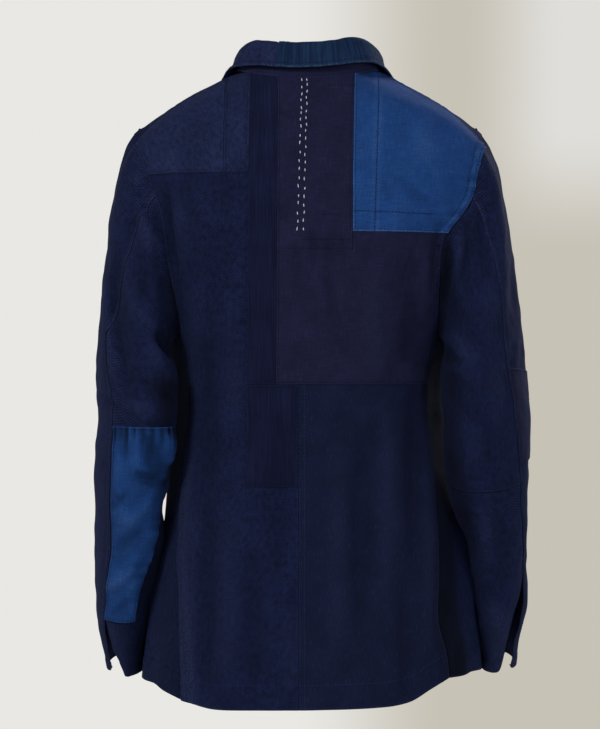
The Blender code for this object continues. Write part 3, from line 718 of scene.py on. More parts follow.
def woven(name, ground, raised, sheen, pattern, relief, rubbed_and_lit="#333c5e", mottle=0.16):
    """A cotton cloth. pattern draws its weave: how much of the raised thread shows at each
    place, and how high the thread stands, from a chart of the cloth in millimetres."""
    material, tree, shader = new_material(name, 0.92)
    chart = add_node(tree, "UVMap", uv_map="cloth")
    chart = add_node(tree, "VectorMath", {0: chart, 1: (1000, 1000, 0)},
                     operation="MULTIPLY")
    share, height = pattern(tree, chart)
    cloud = add_node(tree, "TexNoise", {"Vector": chart, "Scale": 0.028, "Detail": 3.0,
                                        "Roughness": 0.6})
    thread = add_node(tree, "Mix", {0: share, 6: colour(ground), 7: colour(raised)},
                      give=2, data_type="RGBA")
    tone = add_node(tree, "MapRange", {"Value": cloud, "From Min": 0.3, "From Max": 0.7,
                                       "To Min": 1 - mottle, "To Max": 1 + mottle})
    thread = add_node(tree, "VectorMath", {0: thread, "Scale": tone}, operation="SCALE")
    # The attribute read here pales the cloth where positive, for rubbing and painted highlights,
    # and darkens it where negative, for darker dye and painted shade.
    wear_and_painted_light = add_node(tree, "Attribute", give="Fac", attribute_name="wear_and_painted_light")
    darker_dye_and_shade = add_node(tree, "MapRange", {"Value": wear_and_painted_light, "From Min": 0.0, "From Max": -1.0})
    grit = add_node(tree, "TexNoise", {"Vector": chart, "Scale": 0.5, "Detail": 2.0})
    grit = add_node(tree, "MapRange", {"Value": grit, "From Min": 0.35, "From Max": 0.7})
    wear_and_painted_light = add_node(tree, "Math", {0: wear_and_painted_light, 1: grit}, operation="MULTIPLY")
    wear_and_painted_light = add_node(tree, "Math", {0: wear_and_painted_light, 1: 0.5}, operation="MULTIPLY")
    skin = add_node(tree, "Mix", {0: wear_and_painted_light, 6: thread, 7: colour(rubbed_and_lit)}, give=2, data_type="RGBA")
    skin = add_node(tree, "Mix", {0: darker_dye_and_shade, 6: skin, 7: colour(DARK_DYE_AND_SHADE)},
                    give=2, data_type="RGBA")
    bump = add_node(tree, "Bump", {"Height": height, "Strength": 0.8, "Distance": relief * MM})
    tree.links.new(skin, shader.inputs["Base Color"])
    tree.links.new(bump, shader.inputs["Normal"])
    shader.inputs["Specular IOR Level"].default_value = 0.06
    shader.inputs["Sheen Weight"].default_value = sheen
    shader.inputs["Sheen Roughness"].default_value = 0.45
    shader.inputs["Sheen Tint"].default_value = colour(NAP)
    return material


def slubs(tree, chart, across, up, low, high):
    """Where thick places in a thread show: noise drawn out along it. across and up are a
    slub's size in millimetres."""
    drawn = add_node(tree, "VectorMath", {0: chart, 1: (1 / across, 1 / up, 1)},
                     operation="MULTIPLY")
    noise = add_node(tree, "TexNoise", {"Vector": drawn, "Scale": 1.0, "Detail": 2.0,
                                        "Roughness": 0.6})
    return add_node(tree, "MapRange", {"Value": noise, "From Min": low, "From Max": high},
                    interpolation_type="SMOOTHSTEP")


def plain_weave(tree, chart, pitch, wobble):
    """One thread over one: the height of a plain weave, with uneven threads."""
    shift = add_node(tree, "TexNoise", {"Vector": chart, "Scale": 0.16, "Detail": 1.0},
                     give="Color")
    shift = add_node(tree, "VectorMath", {0: shift, "Scale": wobble}, operation="SCALE")
    at = add_node(tree, "VectorMath", {0: chart, 1: shift}, operation="ADD")
    at = add_node(tree, "VectorMath", {0: at, "Scale": 2 * math.pi / pitch}, operation="SCALE")
    at = add_node(tree, "SeparateXYZ", {0: at}).node
    warp = add_node(tree, "Math", {0: at.outputs["X"]}, operation="COSINE")
    weft = add_node(tree, "Math", {0: at.outputs["Y"]}, operation="COSINE")
    both = add_node(tree, "Math", {0: warp, 1: weft}, operation="ADD")
    both = add_node(tree, "Math", {0: both, 1: 0.5}, operation="MULTIPLY")
    return add_node(tree, "Math", {0: both}, operation="ABSOLUTE")


def rice_grain(tree, chart):
    """Short raised floats in staggered rows, 3.2 mm apart, on a plain ground."""
    grain = plain_weave(tree, chart, 3.2, 1.8)
    broken = slubs(tree, chart, 5, 7, 0.22, 0.7)
    share = add_node(tree, "Math", {0: grain, 1: 1.4}, operation="POWER")
    share = add_node(tree, "Math", {0: share, 1: broken}, operation="MULTIPLY")
    fine = plain_weave(tree, chart, 1.3, 0.5)
    fine = add_node(tree, "Math", {0: fine, 1: 0.25}, operation="MULTIPLY")
    return share, add_node(tree, "Math", {0: grain, 1: fine}, operation="ADD")


def slubby(tree, chart):
    """A plain weave with thick places in its warp, here 1.2 mm by 9 mm."""
    flecks = slubs(tree, chart, 1.2, 9, 0.52, 0.74)
    ground = plain_weave(tree, chart, 2.4, 1.0)
    faint = add_node(tree, "Math", {0: ground, 1: 0.35}, operation="MULTIPLY")
    share = add_node(tree, "Math", {0: flecks, 1: faint}, operation="MAXIMUM")
    return share, add_node(tree, "Math", {0: ground, 1: flecks}, operation="ADD")


# Heavy sashiko cotton, vat-dyed nearly black-blue: matt and dry, the floats rubbed paler.
rice_grain_cloth = woven("indigo_rice_grain_cotton", "#0d122a", "#212d57", 0.06, rice_grain, 0.7)
# Slubby plain indigo cotton: flatter, with pale vertical flecks.
slub_cloth = woven("indigo_slub_cotton", "#0f142b", "#1e2647", 0.05, slubby, 0.45)

back_grid = back_rows()
back = worn_panel(back_grid, BACK_CREASES, 0.55, 1.0, deeper=1.5)
LAST_LINE, LAST_LEVEL = len(back_grid[0]) - 1, len(back_grid) - 1
CENTRE_SEAM, HIP_SEAM = 8, 8  # the line and the level at which the back is joined
lap = SIDE_LAP / 30


def left_back_shape(points, left, right, low, top):
    """A painted highlight along the side's lower edge, and painted shade beside the arm."""
    up = points[:, 2]
    height = (felled(left, up, 0.3) + 0.6 * felled(right, up, 1.1) + felled(top, points[:, 0], 0.9)
              + turned_hem(low, points[:, 0], HEM_FOLD, 0.4))
    rubbed_and_lit = 1.2 * smooth_fall(left, 12, 32) * smooth_fall(up, -480, -380)
    under_sleeve = smooth_step(up, -400, -300) * smooth_fall(up, -200, -150)
    painted_arm_shade = 0.3 * smooth_fall(left, 1, 8) * under_sleeve
    worn = edge_wear(left, low) + 0.3 * edge_wear(right) + rubbed_and_lit - painted_arm_shade
    # A little darker above 320 mm down.
    return height, worn - 0.1 * smooth_step(up, -380, -320)


def right_back_shape(points, left, right, low, top):
    """Like the left, without its painted highlight: painted shade along the whole side."""
    up = points[:, 2]
    height = sunk(left) + felled(right, up, 1.7) + turned_hem(low, points[:, 0], HEM_FOLD, 0.4)
    return height, edge_wear(right, low) - 0.35 * smooth_fall(right, 2, 22)


def right_yoke_shape(points, left, right, low, top):
    """As below it, without a hem, and with painted shade along the armhole."""
    height = sunk(left) + felled(right, points[:, 2], 2.3) + felled(top, points[:, 0], 0.5)
    return height, edge_wear(right) - 0.45 * smooth_fall(right, 2, 20)


for name, node, lines, levels, material, shape, cut in (
        ("back_cloth_left", "back_left", (-lap, CENTRE_SEAM + lap), (0, LAST_LEVEL + lap),
         rice_grain_cloth, left_back_shape, (0.21, 0.76, 0.13)),
        ("back_cloth_right_lower", "back_right_lower", (CENTRE_SEAM, LAST_LINE + lap),
         (0, HIP_SEAM), slub_cloth, right_back_shape, (0.21, 0.39, 0.066)),
        ("back_cloth_right_upper", "back_right_upper", (CENTRE_SEAM, LAST_LINE + lap),
         (HIP_SEAM, LAST_LEVEL + lap), rice_grain_cloth, right_yoke_shape, (0.25, 0.39, 0.075))):
    cloth_piece(name, node, back, lines, levels, material, shape)

# --- The patches on the back ---------------------------------------------------------
# Squares and strips of older cottons, laid on the back with their edges turned under:
# dobby by the left shoulder, plum sheeting down the middle, faded chambray on the right.
PATCH_WALL, PATCH_LIFT = 1.0, 1.2  # the lift is of a patch's face over the back's
PATCH_SPACING = (2.4, 2.4)


def plain_sheeting(tree, chart):
    """A close plain weave: threads drawn 1.6 mm apart, with faint slubs both ways."""
    weft = slubs(tree, chart, 16, 1.1, 0.42, 0.78)
    warp = slubs(tree, chart, 1.1, 16, 0.42, 0.78)
    both = add_node(tree, "Math", {0: weft, 1: warp}, operation="ADD")
    share = add_node(tree, "Math", {0: both, 1: 0.4}, operation="MULTIPLY")
    ground = plain_weave(tree, chart, 1.6, 0.6)
    return share, add_node(tree, "Math", {0: ground, 1: share}, operation="ADD")


def ribbed_weave(tree, chart):
    """Warp-faced cotton with narrow stripes of thicker thread, 2 to 4 mm apart."""
    return slubs(tree, chart, 1.5, 60, 0.35, 0.7), slubs(tree, chart, 1.5, 30, 0.35, 0.7)


# The shoulder's dobby is the body's, washed more, so its floats are paler.
faded_weave_cloth = woven("faded_rice_grain_cotton", "#131932", "#2e3b6a", 0.08, rice_grain, 0.7,
                          rubbed_and_lit="#414c74")
# Plum sheeting: dense and smooth, with the dye's red cast.
plum_cloth = woven("plum_cotton_sheeting", "#16182f", "#252748", 0.08, plain_sheeting, 0.25)
# Faded chambray: pale weft on blue warp, brightest where it has been rubbed.
blue_cloth = woven("faded_blue_chambray", "#16366a", "#28508c", 0.08, plain_sheeting, 0.3,
                   rubbed_and_lit="#587db0", mottle=0.12)
# The strip down the middle: a warp-faced cotton, dark, with fine lengthwise ribs.
strip_cloth = woven("indigo_ribbed_cotton", "#0d1128", "#131833", 0.08, ribbed_weave, 0.35)


def patch_shape(points, left, right, low, top):
    """A patch's edges, turned under and stitched once, and its cloth a little slack inside."""
    up, across = points[:, 2], points[:, 0]
    nearest = np.minimum(np.minimum(left, right), np.minimum(low, top))
    height = rolled(nearest, 1.2) + valley(nearest, 2.6, 0.35)
    height += puckers(up, np.minimum(left, right) - 3, 0.3, 8, 7.5, 0.4)
    height += puckers(across, np.minimum(low, top) - 3, 0.3, 8, 7.0, 1.3)
    height += 0.35 * smooth_step(nearest, 2, 12) * uneven(points, 24, 2.0)
    return height, 0.15 * edge_wear(nearest) - 0.12 * np.exp(-((nearest - 3.2) / 1.2) ** 2)


def shaded_shape(points, left, right, low, top):
    """A patch less faded than its neighbours."""
    height, wear_and_painted_light = patch_shape(points, left, right, low, top)
    return height, wear_and_painted_light - 0.2


def blue_shape(points, left, right, low, top):
    """A shoulder patch that is pieced: a strip down its inner side and a border along its foot,
    seamed to the rest, with the armhole's double stitching on its outer side."""
    height, wear_and_painted_light = patch_shape(points, left, right, low, top)
    across, up = points[:, 0], points[:, 2]
    strip = np.abs(across - np.interp(up, (-187, -8), (-74, -81)))
    border = np.abs(up + 164 - 0.02 * (across + 60))
    for seam, along in ((strip, up), (border, across)):
        height += valley(seam, 0, 0.75, 1.0) + 0.25 * np.exp(-((seam - 4) / 3) ** 2)
        height += puckers(along, seam, 0.45, 10, 8, 0.7)
    band = 1 - smooth_step(right, 9, 14)
    height += valley(right, 11.5, 1.0, 1.3) + puckers(up, right - 7, 0.9, 8, 9, 1.9)
    height += 0.5 * band
    height += puckers(up, right - 12, 0.8, 20, 17, 0.3) * smooth_fall(up, -110, -60)
    height += valley(top, 8, 0.5, 1.2)
    foot = np.exp(-(low / 2.2) ** 2) + 0.5 * np.exp(-(left / 1.8) ** 2)
    worn = 0.5 * band * (0.5 + 0.5 * np.sin(up / 3.1)) + 0.3 * np.exp(-((strip - 3) / 2) ** 2)
    return height, 0.5 * wear_and_painted_light + foot + worn - 0.12 * np.exp(-(border / 1.5) ** 2)


def plum_shape(points, left, right, low, top):
    """The plum cloth, darned with a short row near the neck and puckered where it was joined."""
    height, wear_and_painted_light = patch_shape(points, left, right, low, top)
    across, up = points[:, 0], points[:, 2]
    for row, first, last in ((-18, -55, -21), (-168, -36, -12), (-196, -46, 8)):
        near = smooth_step(across, first - 2, first + 2) * smooth_fall(across, last - 2, last + 2)
        height += near * (valley(np.abs(up - row), 0, 0.5, 0.9)
                          + puckers(across, up - row, 0.4, 8, 7, 0.3))
    fold = smooth_step(up, -330, -170) * smooth_fall(up, -200, -60)
    height += 0.45 * fold * uneven(points, 17, 5.0)
    return height, wear_and_painted_light * 0.6


# The first patch's seam runs straight to the shoulder, so the line under it is moved there.
patched = dict(back, rows=back["rows"].copy())
OUTER_LINE, OUTER_ACROSS = 4, 95.6
for row in patched["rows"][LAST_LEVEL - BACK_YOKE_ROWS:]:
    share = np.interp(-OUTER_ACROSS, -row[:OUTER_LINE + 1, 0], np.arange(OUTER_LINE + 1))
    k = min(int(share), OUTER_LINE - 1)
    row[OUTER_LINE] = row[k] + (row[k + 1] - row[k]) * (share - k)

PLUM_LEDGE, PLUM_RISE = 11, 13  # the large plum patch is cut away left of and above these
left_half, right_half = "back_cloth_left", "back_cloth_right_upper"
# Each patch's lines and levels are those of the back that its edges follow.
for name, slot, material, lines, levels, lift, shape, cut, under in (
        ("patch_weave_outer", "indigo_weave", faded_weave_cloth, (0, 4), (17, 21), 0, patch_shape,
         (0.13, 0.14, 0.0152), (left_half,)),
        ("patch_weave_inner", "indigo_weave", faded_weave_cloth, (4, 5), (17, 21), 0, shaded_shape,
         (0.045, 0.13, 0.0052), (left_half,)),
        ("patch_centre_strip", "indigo_weave", strip_cloth, (5, 7), (8, 21), 0.1, patch_shape,
         (0.04, 0.37, 0.0125), (left_half,)),
        ("patch_centre_low", "indigo_weave", strip_cloth, (5, 8), (5, 8), 0, patch_shape,
         (0.08, 0.13, 0.0071), (left_half,)),
        ("patch_plum_upper", "plum_cotton", plum_cloth, (7, 11), (13, 21), 0.1, plum_shape,
         (0.10, 0.22, 0.019), (left_half, right_half)),
        ("patch_plum_large", "plum_cotton", plum_cloth, (7, 16), (8, 14), 0, plum_shape,
         (0.22, 0.19, 0.035), (left_half, right_half)),
        ("patch_blue_shoulder", "blue_cotton", blue_cloth, (11, 16.05), (14, 21.03), 0.7,
         blue_shape, (0.18, 0.20, 0.034), (right_half,))):
    keep = None
    if name == "patch_plum_large":
        def keep(line, level):
            return line > PLUM_LEDGE or level < PLUM_RISE
    cloth_piece(name + "_cloth", name, patched, lines, levels, material, shape,
                lift=PATCH_LIFT + lift, wall=PATCH_WALL, spacing=PATCH_SPACING, keep=keep)

# --- The fronts ----------------------------------------------------------------------
# Two plain lengths of the same dobby, shaped to the chest and carried up to the shoulder
# seam. The left laps over the right by 32 mm, and each front edge is turned in.
# The front armhole, from the side seam up to the yoke line: height at the edge, turn
# round the body from the back, height of the same row at the centre front.
FRONT_ARMHOLE = (
    (-295, 83, -278),
    (-287, 97, -257),
    (-275, 108, -237),
    (-258, 115, -217),
    (-230, 119, -194),
    (-196, 121, -170),
    (-158, 120, -143),
    (-119, 118, -119),
)
FRONT_YOKE_ROWS = 3
# How far each front swells out just ahead of its side seam, under the arm: height, on the
# left, on the right.
SIDE_SWELL = (
    (-268, 0, 0),
    (-292, 9, 10),
    (-312, 19, 21),
    (-345, 19, 21),
    (-400, 18, 20),
    (-440, 17, 17),
    (-475, 13, 14),
    (-530, 9.5, 24),
    (-585, 17, 25),
    (-640, 15, 18),
    (-680, 17, 17),
    (-720, 17, 17),
)
SWELL_MIDDLE, SWELL_REACH = -25, 38  # of that swelling, fore and aft
NECK_COLUMNS = 6  # front columns that end on the neckline
SHOULDER_COLUMNS = SIDE_FILL + 1
NECK_FRONT = -74  # the neck seam's height at the centre front
LAP = 16  # each front passes the centre by this much
LAP_INSET = 3.6  # the under front lies this far inside


def front_rows(side, back):
    """One front, from its centre edge out to the side seam and armhole.

    Its side points and shoulder points are the back's own.
    """
    mirror = 1 if side == "left" else -1
    hem = FRONT_HEM_LEFT if side == "left" else FRONT_HEM_RIGHT
    seam_column = 0 if side == "left" else -1
    swell_column = 1 if side == "left" else 2
    laps = [(-LAP, 0), (0, 0)]
    if side == "right":
        laps = [(-LAP, LAP_INSET), (LAP + 1.2, LAP_INSET), (LAP + 6.5, 0)]
    columns = NECK_COLUMNS + SHOULDER_COLUMNS
    rows = []

    def lap_points(height_at):
        points = []
        for across, inset in laps:
            point = body_at_across(mirror * across, height_at(across), FRONT)
            point.y += inset
            points.append(point)
        return points

    def level_row(centre_height, edge):
        edge_turn = turn_of(edge)
        first = math.degrees(abs(laps[-1][0]) / read(BODY, centre_height, LEFT))
        low = hem_share(centre_height)
        row = lap_points(lambda across: centre_height + low * read(hem, 180, 1))
        for k in range(1, columns):
            share = k / columns
            turn = 180 - first + (edge_turn - 180 + first) * share
            height = centre_height + (edge.z - centre_height) * share ** 1.5
            if low:
                height = centre_height + low * read(hem, turn, 1)
            point = body_at_turn(mirror * turn, height)
            fore = math.exp(-(((point.y - SWELL_MIDDLE) / SWELL_REACH) ** 2))
            swell = read(SIDE_SWELL, height, swell_column) * fore * (1 - share ** 16)
            row.append(point + Vector((mirror * swell, 0, 0)))
        return row + [edge.copy()]

    seam_rows = BACK_LEVELS.index(UNDER_ARM) + 1
    for level, seam_row in zip(BACK_LEVELS[:seam_rows], back[:seam_rows]):
        rows.append(level_row(level, seam_row[seam_column]))
    for k, opening in enumerate((5, 2)):  # the side vent parts the two hems
        rows[k][-1].y -= opening
    for edge_height, turn, centre_height in FRONT_ARMHOLE:
        rows.append(level_row(centre_height, body_at_turn(mirror * turn, edge_height)))

    shoulder = back[-1] if side == "left" else back[-1][::-1]
    shoulder = shoulder[:SHOULDER_COLUMNS + 1][::-1]
    tops = lap_points(neckline)
    start = abs(laps[-1][0])
    for k in range(1, NECK_COLUMNS):
        share = 1 - (1 - k / NECK_COLUMNS) ** 2.6
        across = start + (NECK_HALF_WIDTH - start) * share
        tops.append(body_at_across(mirror * across, neckline(across), FRONT))
    tops += shoulder
    base = rows[-1]
    for k in range(1, FRONT_YOKE_ROWS + 1):
        u = k / FRONT_YOKE_ROWS
        row = []
        for bottom, top in zip(base, tops):
            if top in shoulder:
                arm = arm_share(top.x)
                bend = Vector((
                    top.x + (bottom.x - top.x) * 0.2 + mirror * 4 * arm,
                    -52 + 22 * arm ** 1.5,
                    top.z - 8 + 58 * arm ** 1.6,
                ))
            else:
                bend = (bottom + top) / 2
            row.append(bottom * (1 - u) ** 2 + bend * 2 * u * (1 - u) + top * u * u)
        rows.append(row)
    return rows if side == "left" else [row[::-1] for row in rows]


def neckline(across):
    """Height of the front neck seam."""
    share = min(1, abs(across) / NECK_HALF_WIDTH)
    return NECK_SIDE + (NECK_FRONT - NECK_SIDE) * (1 - share ** 2.4) ** 0.5


# Creases of the fronts, as the back's.
FRONT_CREASES = (
    ((118, -140), (128, -190), (122, -250), 9, -1.8, 0.2, -1),
    ((150, -250), (138, -300), (140, -380), 10, -1.6, 0, -1),
    ((60, -300), (54, -400), (62, -520), 16, 1.3, 0, -1),
    ((96, -330), (104, -450), (98, -600), 13, -1.6, 0.1, -1),
    ((126, -420), (134, -540), (130, -690), 11, 1.5, 0, -1),
    ((36, -480), (42, -580), (36, -700), 12, -1.2, 0, -1),
    ((40, -90), (70, -130), (108, -150), 15, 1.1, 0, -1),
    ((-112, -136), (-124, -196), (-118, -262), 9, -1.8, 0.2, -1),
    ((-146, -262), (-134, -330), (-138, -400), 10, -1.5, 0, -1),
    ((-52, -280), (-60, -400), (-54, -540), 15, 1.4, 0, -1),
    ((-90, -350), (-98, -470), (-92, -640), 13, -1.4, 0.1, -1),
    ((-124, -400), (-134, -520), (-132, -680), 11, 1.6, 0, -1),
    ((-36, -520), (-30, -600), (-34, -700), 12, -1.1, 0, -1),
    ((-44, -96), (-74, -126), (-104, -156), 14, 1.0, 0, -1),
)
FRONT_FOLD = 30  # how wide a front edge is turned in


def front_shape(side):
    """The centre edge is on the left front's left as its cloth runs, and on the right's right.
    Darker dye along the side seam stands in for the deep shade under the arm.
    """
    def shape(points, left, right, low, top):
        up = points[:, 2]
        centre, seam = (left, right) if side == "left" else (right, left)
        under_arm = smooth_step(up, -302, -292)
        height = under_arm * felled(seam, up, 2.1) + (1 - under_arm) * sunk(seam)
        height += rolled(centre, 1.2) + valley(centre, FRONT_FOLD, 0.4) + valley(centre, 3, 0.3)
        height += 0.4 * smooth_fall(centre, FRONT_FOLD - 1, FRONT_FOLD + 2)
        height += sunk(top) + turned_hem(low, points[:, 0], HEM_FOLD, 1.8)
        # Painted shade beside the side seam under the arm, deeper on the right.
        painted_underarm_shade = (0.25 if side == "left" else 0.9) * smooth_fall(seam, 30, 62)
        return height, edge_wear(centre, low) - painted_underarm_shade * smooth_fall(up, -370, -306)
    return shape


fronts, front_panels = {}, {}
for side, seed in (("left", 3.0), ("right", 5.0)):
    fronts[side] = front_rows(side, back_grid)
    panel = front_panels[side] = worn_panel(fronts[side], FRONT_CREASES, 0.55, seed)
    last_line, last_level = panel["rows"].shape[1] - 1, panel["rows"].shape[0] - 1
    cloth_piece(f"front_cloth_{side}", f"front_{side}", panel, (0, last_line),
                (0, last_level), rice_grain_cloth, front_shape(side),
                spacing=(3.4, 3.4), straight=True)

# --- The sleeves ---------------------------------------------------------------------
# Two-piece sleeves of the dobby, set in with the body's edge felled over them. The elbow
# seam is left open at the wrist, and the hem there is turned up without a cuff.
# Sleeve rings below the armhole: height at the rear, nearest and furthest across, fore
# and aft middle, half depth, skew in degrees, across at the elbow seam, across at the
# inner edge of the elbow patch.
RING_HEIGHT, INNER, OUTER, MIDDLE, DEPTH, SKEW, SEAM_LINE, PATCH_LINE = range(8)
LEFT_SLEEVE = (
    (-330, 152, 247.5, 36, 72, 28, 231, 160),
    (-365, 149, 246.5, 41, 68, 26, 226, 157),
    (-407, 151, 245, 42, 65, 24, 224, 156),
    (-440, 156, 247.5, 38, 62, 20, 225, 159),
    (-474, 162, 249, 30, 60, 16, 227, 165),
    (-508, 168, 249, 19, 58, 12, 228, 172),
    (-545, 167, 249.5, 5, 56, 8, 228, 182),
    (-585, 173, 251, -11, 54, 5, 232, 197),
    (-615, 181, 250.5, -23, 52.5, 3, 235, 206),
    (-636, 184, 250, -31, 51.5, 2, 237, 209),
    (-652, 186, 249, -38, 51, 2, 238, 210),
    (-678, 189, 245.5, -49, 50, 2, 236, 211),
    (-703, 193, 239, -60, 49, 2, 231, 212),
)
RIGHT_SLEEVE = (
    (-338, 152, 254.5, 37, 72, 28, 228, 162),
    (-370, 152, 255.5, 41, 68, 26, 234, 162),
    (-402, 155, 257, 42, 65, 22, 237, 166),
    (-433, 156, 256.5, 39, 63, 20, 240, 168),
    (-459, 157, 257, 34, 61, 18, 243, 170),
    (-480, 159, 257, 28, 60, 16, 245, 173),
    (-510, 165, 256.5, 18, 58, 12, 246, 180),
    (-535, 174, 256, 8, 57, 9, 249, 188),
    (-562, 186, 255.5, -3, 55, 6, 250, 198),
    (-590, 191, 256.5, -13, 54, 4, 251, 204),
    (-638, 194.5, 258, -32, 51.5, 2, 249, 208),
    (-667, 197.5, 252, -44, 50, 2, 243, 211),
    (-699, 201, 247, -58, 49, 2, 238, 214),
)
CAP_ROWS = 5  # between the armhole and the first ring
CAP_REACH = 23  # how far the sleeve head stands out before it falls
CAP_SLOPE = (0.87, -0.48)  # the way it stands out: across, up
ELBOW_COLUMN, PATCH_COLUMN, FOREARM_COLUMN = 5, 10, 16  # counted down the back armhole
TOP_TURN, FOREARM_TURN = 80, 205  # of the sleeve's shoulder point and its forearm seam
LEAN = 0.8  # share of the sleeve's slope that its rings tilt by
VENT_CORNER = 17  # rise of the cut corners at the open cuff
# How far an open cuff's edge is drawn back on the last three rings, and the lines it takes along.
VENT_OPENING, VENT_REACH = {"left": (3, 8, 15), "right": (9, 10, 9)}, 6


def armhole_loop(side, back, front):
    """The armhole, from the shoulder seam down the back, under the arm and up the front."""
    column = 0 if side == "left" else -1
    front_column = -1 if side == "left" else 0
    seam_top = BACK_LEVELS.index(UNDER_ARM)
    down = [row[column] for row in back[seam_top:]][::-1]
    up = [row[front_column] for row in front[seam_top + 1:]]
    return down + up[:-1]


def sleeve_rings(side, loop):
    """Rings of the sleeve from the armhole to the cuff, each in the loop's order."""
    mirror = 1 if side == "left" else -1
    table = LEFT_SLEEVE if side == "left" else RIGHT_SLEEVE
    count = len(loop)

    def ring(height):
        inner, outer, middle, depth, skew, seam_line, patch_line = (
            read(table, height, column) for column in range(INNER, PATCH_LINE + 1))
        centre, reach = (inner + outer) / 2, (outer - inner) / 2
        slope = (read(table, height + 15, MIDDLE) - read(table, height - 15, MIDDLE)) / 30

        def turn_at(across):
            share = min(0.97, max(-0.97, (across - centre) / reach))
            return skew + math.degrees(math.asin(share))

        elbow, patch = turn_at(seam_line), turn_at(patch_line)
        stops = ((0, TOP_TURN), (ELBOW_COLUMN, elbow), (PATCH_COLUMN, patch),
                 (FOREARM_COLUMN, FOREARM_TURN - 360), (count, TOP_TURN - 360))
        points = []
        for k in range(count):
            first, last = next(
                (a, b) for a, b in zip(stops, stops[1:]) if a[0] <= k < b[0])
            share = (k - first[0]) / (last[0] - first[0])
            turn = math.radians(first[1] + (last[1] - first[1]) * share)
            out = centre + reach * math.sin(turn - math.radians(skew))
            rear = depth * math.cos(turn)
            tilt = (depth - rear) * LEAN * slope
            points.append(Vector((mirror * out, middle + rear, height + tilt)))
        return points

    first_ring = ring(table[0][RING_HEIGHT])
    rings = [loop]
    for k in range(1, CAP_ROWS):
        u = k / CAP_ROWS
        points = []
        for start, end in zip(loop, first_ring):
            drop = start.z - end.z
            reach = CAP_REACH * min(1, 0.5 + drop / 200)
            head = start + Vector((mirror * CAP_SLOPE[0], 0, CAP_SLOPE[1])) * reach
            back = start - end
            fall = end + Vector((0.15 * back.x, 0.1 * back.y, 0.42 * drop))
            points.append(start * (1 - u) ** 3 + head * 3 * u * (1 - u) ** 2
                          + fall * 3 * u * u * (1 - u) + end * u ** 3)
        rings.append(points)
    return rings + [ring(row[RING_HEIGHT]) for row in table]


def sleeve_panel(side, rings, first, last, spread):
    """Rows of one sleeve piece from seam to seam, with two lines of its neighbour beyond each."""
    count = len(rings[0])
    rows = [[ring[k % count].copy() for k in range(first - 2, last + 3)] for ring in rings]
    at, inward = (2, 1) if first == ELBOW_COLUMN else (-3, -1)
    for row, opening, corner in zip(rows[-3:], VENT_OPENING[side], (0, 0, VENT_CORNER)):
        way = (row[at + VENT_REACH * inward] - row[at]).normalized()
        for k in range(VENT_REACH):
            row[at + k * inward] += way * opening * (1 - k / VENT_REACH) * spread
        row[at].z += corner * spread
        row[at + inward].z += 0.22 * corner * spread
        for k in (1, 2):
            row[at - k * inward] = row[at] * (1 + k) - row[at + inward] * k
    return np.array([row if side == "left" else row[::-1] for row in rows[::-1]])


# Creases of each sleeve, as the back's.
LEFT_SLEEVE_CREASES = (
    ((202, -143), (190, -136), (176, -118), 4.5, -3.6, 0.3, 1),
    ((206, -120), (196, -128), (186, -122), 8, 2.2, 0, 1),
    ((202, -146), (188, -160), (172, -176), 5, -3.8, -0.3, 1),
    ((196, -150), (204, -176), (208, -214), 7, -2.6, 0.2, 1),
    ((216, -120), (222, -160), (226, -210), 9, 1.6, 0, 1),
    ((180, -150), (172, -172), (162, -200), 5.5, -5.2, 0.2, 1),
    ((190, -160), (184, -184), (178, -212), 7, 3.0, 0, 1),
    ((186, -206), (190, -236), (178, -268), 8, -2.4, 0.3, 1),
    ((214, -196), (222, -236), (220, -284), 9, -2.2, 0.2, 1),
    ((206, -210), (206, -250), (196, -296), 9, 2.2, 0, 1),
    ((234, -218), (230, -326), (205, -379), 5, 3.2, 0.3, 1),
    ((225, -228), (221, -318), (200, -366), 6, -2.2, 0, 1),
    ((172, -297), (160, -312), (146, -335), 4.6, -7.5, 0.35, 1),
    ((180, -312), (170, -332), (150, -356), 8, 4.0, 0, 1),
    ((198, -262), (186, -290), (168, -296), 9, 2.0, 0, 1),
    ((192, -352), (176, -366), (156, -374), 8, -2.6, 0.2, 1),
    ((212, -372), (196, -386), (166, -394), 8, 2.0, 0, 1),
    ((242, -372), (230, -378), (214, -388), 4, -1.8, 0.2, 1),
    ((180, -414), (178, -440), (166, -462), 7, -3.4, 0.3, 1),
    ((196, -412), (196, -440), (186, -470), 7, 2.0, 0, 1),
    ((160, -414), (158, -432), (162, -452), 6, 2.4, 0, 1),
    ((196, -456), (182, -468), (164, -470), 7, -3.0, 0.2, 1),
    ((210, -420), (214, -470), (208, -520), 10, 1.6, 0, 1),
    ((206, -480), (212, -496), (226, -500), 5, -1.8, 0.2, 1),
    ((178, -488), (192, -508), (216, -520), 9, 1.8, 0, 1),
    ((190, -522), (204, -548), (226, -566), 9, -2.0, 0.2, 1),
    ((200, -566), (214, -586), (236, -596), 9, 1.8, 0, 1),
    ((206, -604), (216, -624), (232, -636), 8, -1.8, 0, 1),
    ((170, -360), (190, -376), (226, -372), 9, -2.6, 0.2, -1),
    ((166, -390), (190, -400), (224, -410), 9, 2.0, 0, -1),
    ((172, -420), (196, -430), (230, -452), 9, -2.4, 0.2, -1),
    ((176, -470), (200, -490), (232, -490), 10, 1.8, 0, -1),
    ((184, -520), (206, -536), (236, -560), 10, -2.0, 0.2, -1),
    ((196, -170), (210, -220), (204, -280), 9, -2.2, 0.2, -1),
    ((216, -200), (226, -260), (222, -330), 10, 2.0, 0, -1),
)
